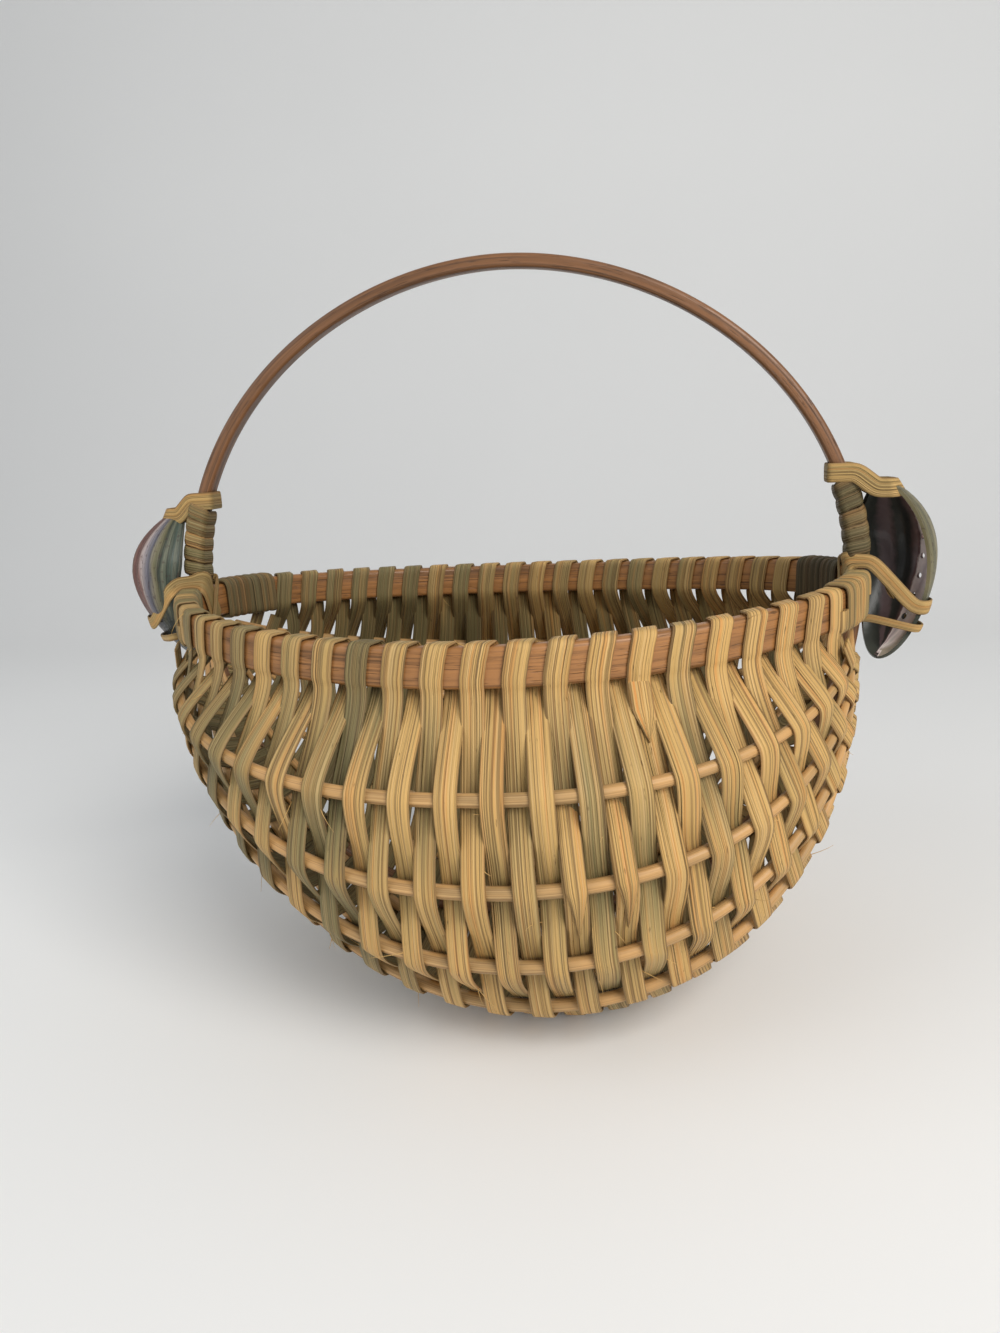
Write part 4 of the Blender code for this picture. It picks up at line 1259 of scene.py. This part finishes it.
def add_bindings(sizes, colours):
    chance = random.Random(BINDING_SEED)
    # One reed in copies with more or less painted shade, darker for the bindings that lie in shade
    pale = reed_finish("binding_pale", colours, 0.10, 0.12)
    gold = reed_finish("binding_gold", colours, 0.26, 0.28)
    dull = reed_finish("binding_dull", colours, 0.40, 0.45)
    dim = reed_finish("binding_dim", colours, 0.62, 0.28)
    dark = reed_finish("binding_dark", colours, 0.77, 0.25)
    upright = (UPRIGHT_THICKNESS, UPRIGHT_WIDTH)
    level = (RIM_THICKNESS, RIM_WIDTH)
    foot_start = JOINT_HEIGHT + HANDLE_BINDING_RISE - HANDLE_SHOULDER
    for side, label, foot_finish, rear_finish in ((-1, "left", gold, dull), (1, "right", dim, dark)):
        foot = wound_samples(
            HANDLE, upright, foot_start, HANDLE_BINDING_LENGTH, sizes.handle_turns, side, FRONT_TO_BACK,
            False, chance)
        front = wound_samples(
            RIM, level, BINDING_START, BINDING_LENGTH, sizes.rim_turns, side, UP, False, chance)
        rear = wound_samples(
            RIM, level, BINDING_START, BINDING_LENGTH, sizes.rear_rim_turns, -side, UP, True, chance)
        rows = [
            ("handle_binding_", foot, foot_finish), ("rim_binding_front_", front, pale),
            ("rim_binding_back_", rear, rear_finish),
        ]
        for node, samples, material in rows:
            mark = side * BINDING_MARK
            binding = strip_piece("binding", samples, BINDING_THICKNESS, mark, BINDING_FULLNESS)
            finish_piece(binding, "wound_" + node + label, [node + label], "binding_reed", material)


def shell_place(side):
    """Where a shell's open edge is centred, and how it is turned. From the front, the left one shows its back
    and the right one its hollow."""
    turn = SHELL_SWING if side > 0 else SHELL_SWING + math.pi
    middle = Vector((side * (HOOP_HALF_WIDTH + SHELL_STANDOFF), 0, SHELL_CENTRE_RISE))
    return Matrix.Translation(middle) @ Matrix.Rotation(turn, 4, "Z")


def ear_point(out, over, up):
    """A ball's point moved onto the ear: drawn toward its spire, bent back, and wider beside the handle."""
    up += SPIRE_SHARE * out * (1 - up)
    rise = clamped((up - FLARE_START_SHARE) / FLARE_LENGTH_SHARE)
    flare = 1 + FLARE_SHARE * eased(rise) * max(over, 0)
    depth = out * SHELL_DEPTH - up * up * SHELL_BEND
    return Vector((depth, over * SHELL_HALF_WIDTH * flare, up * SHELL_HALF_HEIGHT))


def ear_shape():
    """Half a ball drawn into an ear, with low growth folds."""
    deselect()
    bpy.ops.mesh.primitive_uv_sphere_add(segments=SHELL_SPOKES, ring_count=SHELL_RINGS, radius=1)
    shell = bpy.context.object
    shell.data.transform(Matrix.Rotation(math.pi / 2, 4, "Y"))
    open_edit()
    bpy.ops.mesh.bisect(plane_co=(0, 0, 0), plane_no=(1, 0, 0), clear_inner=True)
    close_edit()
    for vertex in shell.data.vertices:
        out, over, up = vertex.co
        folds = 1 + FOLD_HEIGHT_SHARE * math.sin(FOLD_COUNT * math.atan2(out, over)) * out
        vertex.co = ear_point(out * folds, over, up)
    return shell


def cut_pores(shell):
    """A row of small round holes on the side that stands away from the handle."""
    deselect()
    for index in range(PORE_COUNT):
        share = (2 * index / (PORE_COUNT - 1) - 1) * PORE_ROW_LENGTH_SHARE
        over = -PORE_ROW_SHARE * math.sqrt(1 - share ** 2) * SHELL_HALF_WIDTH
        bpy.ops.mesh.primitive_cylinder_add(
            vertices=PORE_SIDES, radius=PORE_RADIUS, depth=2 * SHELL_DEPTH,
            location=(SHELL_DEPTH / 2, over, share * SHELL_HALF_HEIGHT), rotation=(0, math.pi / 2, 0))
        pore = bpy.context.object
        apply_modifier(shell, "BOOLEAN", operation="DIFFERENCE", solver="EXACT", object=pore)
        bpy.data.objects.remove(pore)


def add_shells(sizes, colours):
    back = shell_outer_finish()
    nacre = shell_nacre_finish(colours)
    for side, label in ((-1, "left"), (1, "right")):
        shell = ear_shape()
        shell.data.materials.append(back)
        shell.data.materials.append(nacre)
        apply_modifier(
            shell, "SOLIDIFY", thickness=SHELL_THICKNESS, offset=-1, use_even_offset=True, material_offset=1)
        cut_pores(shell)
        mesh = shell.data
        layer = fresh_grain(mesh)
        for loop in mesh.loops:
            place = mesh.vertices[loop.vertex_index].co
            out = place.x + SHELL_BEND * (place.z / SHELL_HALF_HEIGHT) ** 2
            turn = math.atan2(max(out, 0) / SHELL_DEPTH, place.y / SHELL_HALF_WIDTH)
            layer.data[loop.index].uv = (place.z, (1 - turn / math.pi) * SHELL_GIRTH)
        mesh.transform(shell_place(side))
        mesh.shade_smooth()
        mesh.set_sharp_from_angle(angle=SHELL_SHARP_ANGLE)
        finish_piece(shell, "ear_shell_" + label, ["shell_" + label], "sea_shell")


def shell_band(side, low, high):
    """Points on the shell's outer face between two heights."""
    points = []
    place = shell_place(side)
    for ring in range(BAND_RINGS + 1):
        for spoke in range(BAND_SPOKES):
            lift, turn = math.pi / 2 * ring / BAND_RINGS, 2 * math.pi * spoke / BAND_SPOKES
            out, over, up = math.sin(lift), math.cos(lift) * math.cos(turn), math.cos(lift) * math.sin(turn)
            point = place @ ear_point(out, over, up)
            if low <= point.z <= high:
                points.append(point)
    return points


def outline_round(points):
    """The points on the outside of a flat group, in order round it."""
    ordered = sorted((point.x, point.y) for point in points)
    chains = []
    for run in (ordered, ordered[::-1]):
        chain = []
        for x, y in run:
            while len(chain) > 1:
                (x0, y0), (x1, y1) = chain[-2:]
                if (x1 - x0) * (y - y0) - (y1 - y0) * (x - x0) > 0:
                    break
                chain.pop()
            chain.append((x, y))
        chains += chain[:-1]
    return [Vector((x, y, 0)) for x, y in chains]


def smoothed(values, rounds):
    """Each value of a ring drawn toward its neighbours, that many times over."""
    for _ in range(rounds):
        following = values[1:] + values[:1]
        values = [(values[i - 1] + values[i] * 2 + following[i]) / 4 for i in range(len(values))]
    return values


def ring_round(points, distance):
    """A smooth ring that stands that far off all the points."""
    spread = []
    for point in points:
        for step in range(RING_SPREAD):
            angle = 2 * math.pi * (step + 0.5) / RING_SPREAD
            way = Vector((math.cos(angle), math.sin(angle), 0))
            spread.append(Vector((point.x, point.y, 0)) + way * distance)
    ring = outline_round(spread)
    return smoothed(evenly_spaced(ring + ring[:1], RING_POINTS + 1)[:-1], RING_SMOOTHING)


def upright_x(height, inset):
    """How far out the upright hoop's outer face stands near the joint, or its inner face if inset."""
    up, rise, fullness = height - HANDLE_SHOULDER, HANDLE_RISE - HANDLE_SHOULDER, HANDLE_FULLNESS
    if up < 0:
        up, rise, fullness = -up, KEEL_DROP + HANDLE_SHOULDER, KEEL_FULLNESS
    return (HOOP_HALF_WIDTH - inset) * (1 - (up / (rise - inset)) ** fullness) ** (1 / fullness)


def hoop_band(side, low, high):
    """Corners round the upright hoop between two heights."""
    outer = max(upright_x(low, 0), upright_x(high, 0))
    inner = min(upright_x(low, UPRIGHT_THICKNESS), upright_x(high, UPRIGHT_THICKNESS))
    corners = []
    for x in (inner, outer):
        for over in (-UPRIGHT_WIDTH / 2, UPRIGHT_WIDTH / 2):
            corners.append(Vector((side * x, over, 0)))
    return corners


def way_out(point):
    """0 at the joint and 1 at the outer end of a shell."""
    return clamped((abs(point.x) - STRAP_CLEAR_X) / SHELL_DEPTH)


def shell_section(side, low, high, end, width):
    """What a strap lies on: the shell's near part between two heights, and all of it at the strap's end."""
    far = HOOP_HALF_WIDTH + SHELL_STANDOFF / 2
    near = [point for point in shell_band(side, low, high) if abs(point.x) < far]
    return near + shell_band(side, end - width / 2, end + width / 2)


def add_strap(name, ring, height_at, width, inner_share, lean, material, mark):
    """A closed band of reed round a ring. Its height changes smoothly, it is wider inside the joint, and it
    leans with the shell."""
    inner_face = HOOP_HALF_WIDTH - UPRIGHT_THICKNESS
    heights = [height_at(point) for point in ring]
    widths = [width * (inner_share if abs(point.x) < inner_face else 1) for point in ring]
    heights, widths = smoothed(heights, HEIGHT_SMOOTHING), smoothed(widths, HEIGHT_SMOOTHING)
    samples = []
    for point, height, wide in zip(ring, heights, widths):
        edge = UP + Vector((math.copysign(1, point.x) * lean * way_out(point), 0, 0))
        samples.append(Sample(Vector((point.x, point.y, height)), edge, wide / 2, STRAP_SHADE))
    strap = strip_piece("strap", samples, STRAP_THICKNESS, mark, STRAP_FULLNESS, STRAP_SIDES, closed=True)
    finish_piece(strap, "tied_" + name, [name], "binding_reed", material)


def crossing_height(width, over_front, outer_height, extra):
    """Over the rim on one side of the handle, under it on the other, and level round the shell."""
    off_rim = STRAP_OFF_RIM + width / 2 + extra

    def height_at(point):
        forward = max(min(-2 * point.y / UPRIGHT_WIDTH, 1), -1) * (1 if over_front else -1)
        share = way_out(point)
        return (JOINT_HEIGHT + forward * off_rim) * (1 - share) + outer_height * share

    return height_at


def add_straps(sizes, colours):
    material = reed_finish("strap_reed", colours, 0.08, 0.0)
    skin = SOLID_GAP / 2 + STRAP_THICKNESS / 2
    layer = STRAP_THICKNESS + SOLID_GAP / 2
    top_at = JOINT_HEIGHT + TOP_STRAP_RISE - HANDLE_SHOULDER
    for side, label in ((-1, "left"), (1, "right")):
        top = HANDLE.point(side * (HANDLE.reach(side) - top_at)).z
        low, high = top - TOP_STRAP_WIDTH / 2, top + TOP_STRAP_WIDTH / 2
        section = hoop_band(side, low, high) + shell_band(side, top - STRAP_DROP, high)
        clear = upright_x(low, 0) + skin

        def top_height(point):
            return top - STRAP_DROP * clamped((abs(point.x) - clear) / TOP_STRAP_WIDTH)

        ring = ring_round(section, skin)
        add_strap(
            "strap_top_" + label, ring, top_height, TOP_STRAP_WIDTH, 1, TOP_STRAP_LEAN, material,
            side * TOP_STRAP_MARK)
        reach = STRAP_OFF_RIM + sizes.strap_width + layer
        low, high = JOINT_HEIGHT - reach, JOINT_HEIGHT + reach
        hoop = hoop_band(side, low, high)
        height = crossing_height(sizes.strap_width, True, 0, 0)
        ring = ring_round(hoop + shell_section(side, low, high, 0, sizes.strap_width), skin)
        add_strap(
            "strap_middle_" + label, ring, height, sizes.strap_width, LASH_SHARE, STRAP_LEAN, material,
            side * STRAP_MARK)
        height = crossing_height(sizes.thin_strap_width, False, -LOW_STRAP_DROP, layer)
        section = shell_section(side, low, high, -LOW_STRAP_DROP, sizes.thin_strap_width)
        ring = ring_round(hoop + section, skin + layer)
        add_strap(
            "strap_lower_" + label, ring, height, sizes.thin_strap_width, 1, LOW_STRAP_LEAN, material,
            side * LOW_STRAP_MARK)


def add_fibres(sizes, colours):
    """Fine fibres that have split off the reed. One that would reach the ground or past the lobes is left
    out."""
    chance = random.Random(FIBRE_SEED)
    samples = [sample for reed in woven_reeds(sizes) for sample in reed]
    points, faces, grain = [], [], []
    for _ in range(sizes.fibre_count):
        sample = samples[chance.randrange(1, len(samples) - 1)]
        place = sample.place
        outward = Vector((place.x * FIBRE_FLATTENING, place.y, place.z * FIBRE_FLATTENING)).normalized()
        sideways = sample.edge.normalized() * chance.choice((-1, 1))
        root = place + sideways * sample.half_width * FIBRE_ROOT_SHARE
        root += outward * sizes.reed_thickness * FIBRE_LIFT_SHARE
        aim = outward * chance.uniform(*FIBRE_AIMS) + sideways * chance.uniform(*FIBRE_AIMS)
        aim += Vector((chance.uniform(*FIBRE_DRIFTS), 0, chance.uniform(*FIBRE_DROOPS)))
        aim.normalize()
        curl = Vector([chance.uniform(-1, 1) for _ in range(3)]) * FIBRE_CURL_SHARE
        length = chance.uniform(*FIBRE_LENGTHS)
        tip = root + (aim + curl * 0.5) * length
        too_low = min(root.z, tip.z) < FIBRE_GROUND_GAP - MIDDLE.z
        if too_low or abs(tip.y) > RIM_HALF_DEPTH + LOBE_BULGE:
            continue
        first = len(points)
        side_way = aim.orthogonal().normalized()
        other_way = aim.cross(side_way)
        for ring in range(FIBRE_RINGS + 1):
            share = ring / FIBRE_RINGS
            middle = root + (aim * share + curl * share * share * 0.5) * length
            radius = sizes.fibre_radius * (1 - FIBRE_TAPER_SHARE * share)
            for corner in range(FIBRE_SIDES):
                angle = 2 * math.pi / FIBRE_SIDES * corner
                points.append(middle + (side_way * math.cos(angle) + other_way * math.sin(angle)) * radius)
        for ring in range(FIBRE_RINGS):
            here, there = first + ring * FIBRE_SIDES, first + (ring + 1) * FIBRE_SIDES
            for corner in range(FIBRE_SIDES):
                other = (corner + 1) % FIBRE_SIDES
                faces.append((here + corner, here + other, there + other, there + corner))
                grain += [(FIBRE_GRAIN_STEP * ring, FIBRE_GRAIN_WIDTH * corner)] * 4
        last = first + FIBRE_RINGS * FIBRE_SIDES
        faces.append(tuple(range(first + FIBRE_SIDES - 1, first - 1, -1)))
        faces.append(tuple(range(last, last + FIBRE_SIDES)))
        grain += [(0, 0)] * 2 * FIBRE_SIDES
    piece = piece_from("fibres", points, faces, grain)
    write_point_values(piece.data, "shade", [FIBRE_SHADE] * len(points))
    material = woven_finish(colours)
    finish_piece(piece, "stray_fibres", [], "flat_reed", material)


# The camera, as found from the photograph, on a frame of 1000 by 1333 pixels
CAMERA_PLACE = MIDDLE + Vector((0.0620, -0.3683, 0.0649))
CAMERA_YAW = math.radians(-10.38)
CAMERA_PITCH = math.radians(12.93)
CAMERA_ROLL = math.radians(-3.12)
CAMERA_LENS = 27.0
CAMERA_NEAR = 0.01


def add_camera():
    forward = Vector((
        math.sin(CAMERA_YAW) * math.cos(CAMERA_PITCH), math.cos(CAMERA_YAW) * math.cos(CAMERA_PITCH),
        -math.sin(CAMERA_PITCH)))
    level = Vector((math.cos(CAMERA_YAW), -math.sin(CAMERA_YAW), 0))
    upright = level.cross(forward)
    right = level * math.cos(CAMERA_ROLL) + upright * math.sin(CAMERA_ROLL)
    up = upright * math.cos(CAMERA_ROLL) - level * math.sin(CAMERA_ROLL)
    bpy.ops.object.camera_add()
    camera = bpy.context.object
    turn = Matrix((right, up, -forward)).transposed().to_4x4()
    camera.matrix_world = Matrix.Translation(CAMERA_PLACE) @ turn
    camera.data.lens = CAMERA_LENS
    camera.data.clip_start = CAMERA_NEAR
    bpy.context.scene.camera = camera


def add_lamp(name, place, aim, size, energy, colour):
    bpy.ops.object.light_add(type="AREA", location=place)
    lamp = bpy.context.object
    lamp.name = name
    lamp.data.size = size
    lamp.data.energy = energy
    lamp.data.color = colour
    lamp.rotation_euler = (Vector(aim) - Vector(place)).to_track_quat("-Z", "Y").to_euler()


def add_backdrop(colours):
    """A floor that curves up into a wall, well behind the basket."""
    deselect()
    bpy.ops.mesh.primitive_plane_add(size=FLOOR_SIZE, location=FLOOR_MIDDLE)
    floor = bpy.context.object
    open_edit("DESELECT")
    close_edit()
    for edge in floor.data.edges:
        edge.select = all(floor.data.vertices[corner].co.y > 0 for corner in edge.vertices)
    bpy.ops.object.mode_set(mode="EDIT")
    bpy.ops.mesh.extrude_region_move(TRANSFORM_OT_translate={"value": (0, 0, WALL_HEIGHT)})
    bpy.ops.mesh.select_all(action="DESELECT")
    close_edit()
    floor.data.transform(floor.matrix_world)
    floor.matrix_world = Matrix.Identity(4)
    apply_modifier(
        floor, "BEVEL", width=WALL_FOOT_RADIUS, segments=WALL_FOOT_STEPS, limit_method="ANGLE",
        angle_limit=BEVEL_FROM_ANGLE)
    floor.data.shade_smooth()
    floor.name = "pale_backdrop"
    floor.data.materials.append(floor_finish(colours))


def add_world(colours):
    """Even pale light from all round. The camera itself sees the plain colour of the floor there instead."""
    world = bpy.data.worlds.new("studio")
    bpy.context.scene.world = world
    world.use_nodes = True
    tree = world.node_tree
    tree.nodes.clear()
    output = tree.nodes.new("ShaderNodeOutputWorld")
    light = tree.nodes.new("ShaderNodeBackground")
    light.inputs["Color"].default_value = (*SKY_COLOUR, 1)
    light.inputs["Strength"].default_value = SKY_STRENGTH
    ground = tree.nodes.new("ShaderNodeBackground")
    ground.inputs["Color"].default_value = (*colours.floor, 1)
    rays = tree.nodes.new("ShaderNodeLightPath")
    choice = tree.nodes.new("ShaderNodeMixShader")
    tree.links.new(rays.outputs["Is Camera Ray"], choice.inputs[0])
    tree.links.new(light.outputs[0], choice.inputs[1])
    tree.links.new(ground.outputs[0], choice.inputs[2])
    tree.links.new(choice.outputs[0], output.inputs[0])


class BasketOperator:
    """What every operator shares: it reads the sizes and colours, and is undone as one."""

    bl_options = {"REGISTER", "UNDO"}

    def settings(self, context):
        return context.scene.basket_sizes, context.scene.basket_colours


class BASKET_OT_stage(BasketOperator, bpy.types.Operator):
    """Add the floor, the soft studio light and the camera"""

    bl_idname = "basket.stage"
    bl_label = "Stage"

    def execute(self, context):
        colours = self.settings(context)[1]
        add_camera()
        add_backdrop(colours)
        add_world(colours)
        for lamp in LAMPS:
            add_lamp(*lamp)
        context.scene.view_settings.view_transform = "Standard"
        return {"FINISHED"}


class BASKET_OT_hoops(BasketOperator, bpy.types.Operator):
    """Model the handle hoop and the rim hoop"""

    bl_idname = "basket.hoops"
    bl_label = "Hoops"

    def execute(self, context):
        add_hoops(*self.settings(context))
        return {"FINISHED"}


class BASKET_OT_ribs(BasketOperator, bpy.types.Operator):
    """Model the round ribs of both lobes"""

    bl_idname = "basket.ribs"
    bl_label = "Ribs"

    def execute(self, context):
        add_ribs(*self.settings(context))
        return {"FINISHED"}


class BASKET_OT_weave(BasketOperator, bpy.types.Operator):
    """Weave the flat reed over and under the ribs and round the rim"""

    bl_idname = "basket.weave"
    bl_label = "Weave"

    def execute(self, context):
        add_weave(*self.settings(context))
        return {"FINISHED"}


class BASKET_OT_bindings(BasketOperator, bpy.types.Operator):
    """Wind reed round the handle's feet and the rim"""

    bl_idname = "basket.bindings"
    bl_label = "Bindings"

    def execute(self, context):
        add_bindings(*self.settings(context))
        return {"FINISHED"}


class BASKET_OT_shells(BasketOperator, bpy.types.Operator):
    """Model the ear-shaped shell at each joint"""

    bl_idname = "basket.shells"
    bl_label = "Shells"

    def execute(self, context):
        add_shells(*self.settings(context))
        return {"FINISHED"}


class BASKET_OT_straps(BasketOperator, bpy.types.Operator):
    """Tie the shells to the joints with reed"""

    bl_idname = "basket.straps"
    bl_label = "Straps"

    def execute(self, context):
        add_straps(*self.settings(context))
        return {"FINISHED"}


class BASKET_OT_fibres(BasketOperator, bpy.types.Operator):
    """Add the fine fibres that stand off the reed"""

    bl_idname = "basket.fibres"
    bl_label = "Stray fibres"

    def execute(self, context):
        add_fibres(*self.settings(context))
        return {"FINISHED"}


STEPS = ["stage", "hoops", "ribs", "weave", "bindings", "shells", "straps", "fibres"]


class BASKET_PT_panel(bpy.types.Panel):
    """Lists the steps, the sizes and the colours"""

    bl_idname = "BASKET_PT_panel"
    bl_label = "Ribbed hoop basket"
    bl_space_type = "VIEW_3D"
    bl_region_type = "UI"
    bl_category = "Basket"

    def draw(self, context):
        for step in STEPS:
            self.layout.operator("basket." + step)
        for group in (context.scene.basket_sizes, context.scene.basket_colours):
            for name in group.__annotations__:
                self.layout.prop(group, name)


CLASSES = [
    BasketSizes, BasketColours, BASKET_OT_stage, BASKET_OT_hoops, BASKET_OT_ribs, BASKET_OT_weave,
    BASKET_OT_bindings, BASKET_OT_shells, BASKET_OT_straps, BASKET_OT_fibres, BASKET_PT_panel,
]


def register():
    for item in CLASSES:
        bpy.utils.register_class(item)
    bpy.types.Scene.basket_sizes = PointerProperty(type=BasketSizes)
    bpy.types.Scene.basket_colours = PointerProperty(type=BasketColours)


def unregister():
    del bpy.types.Scene.basket_colours
    del bpy.types.Scene.basket_sizes
    for item in reversed(CLASSES):
        bpy.utils.unregister_class(item)


def main():
    register()
    for step in STEPS:
        getattr(bpy.ops.basket, step)()


if __name__ == "__main__":
    main()
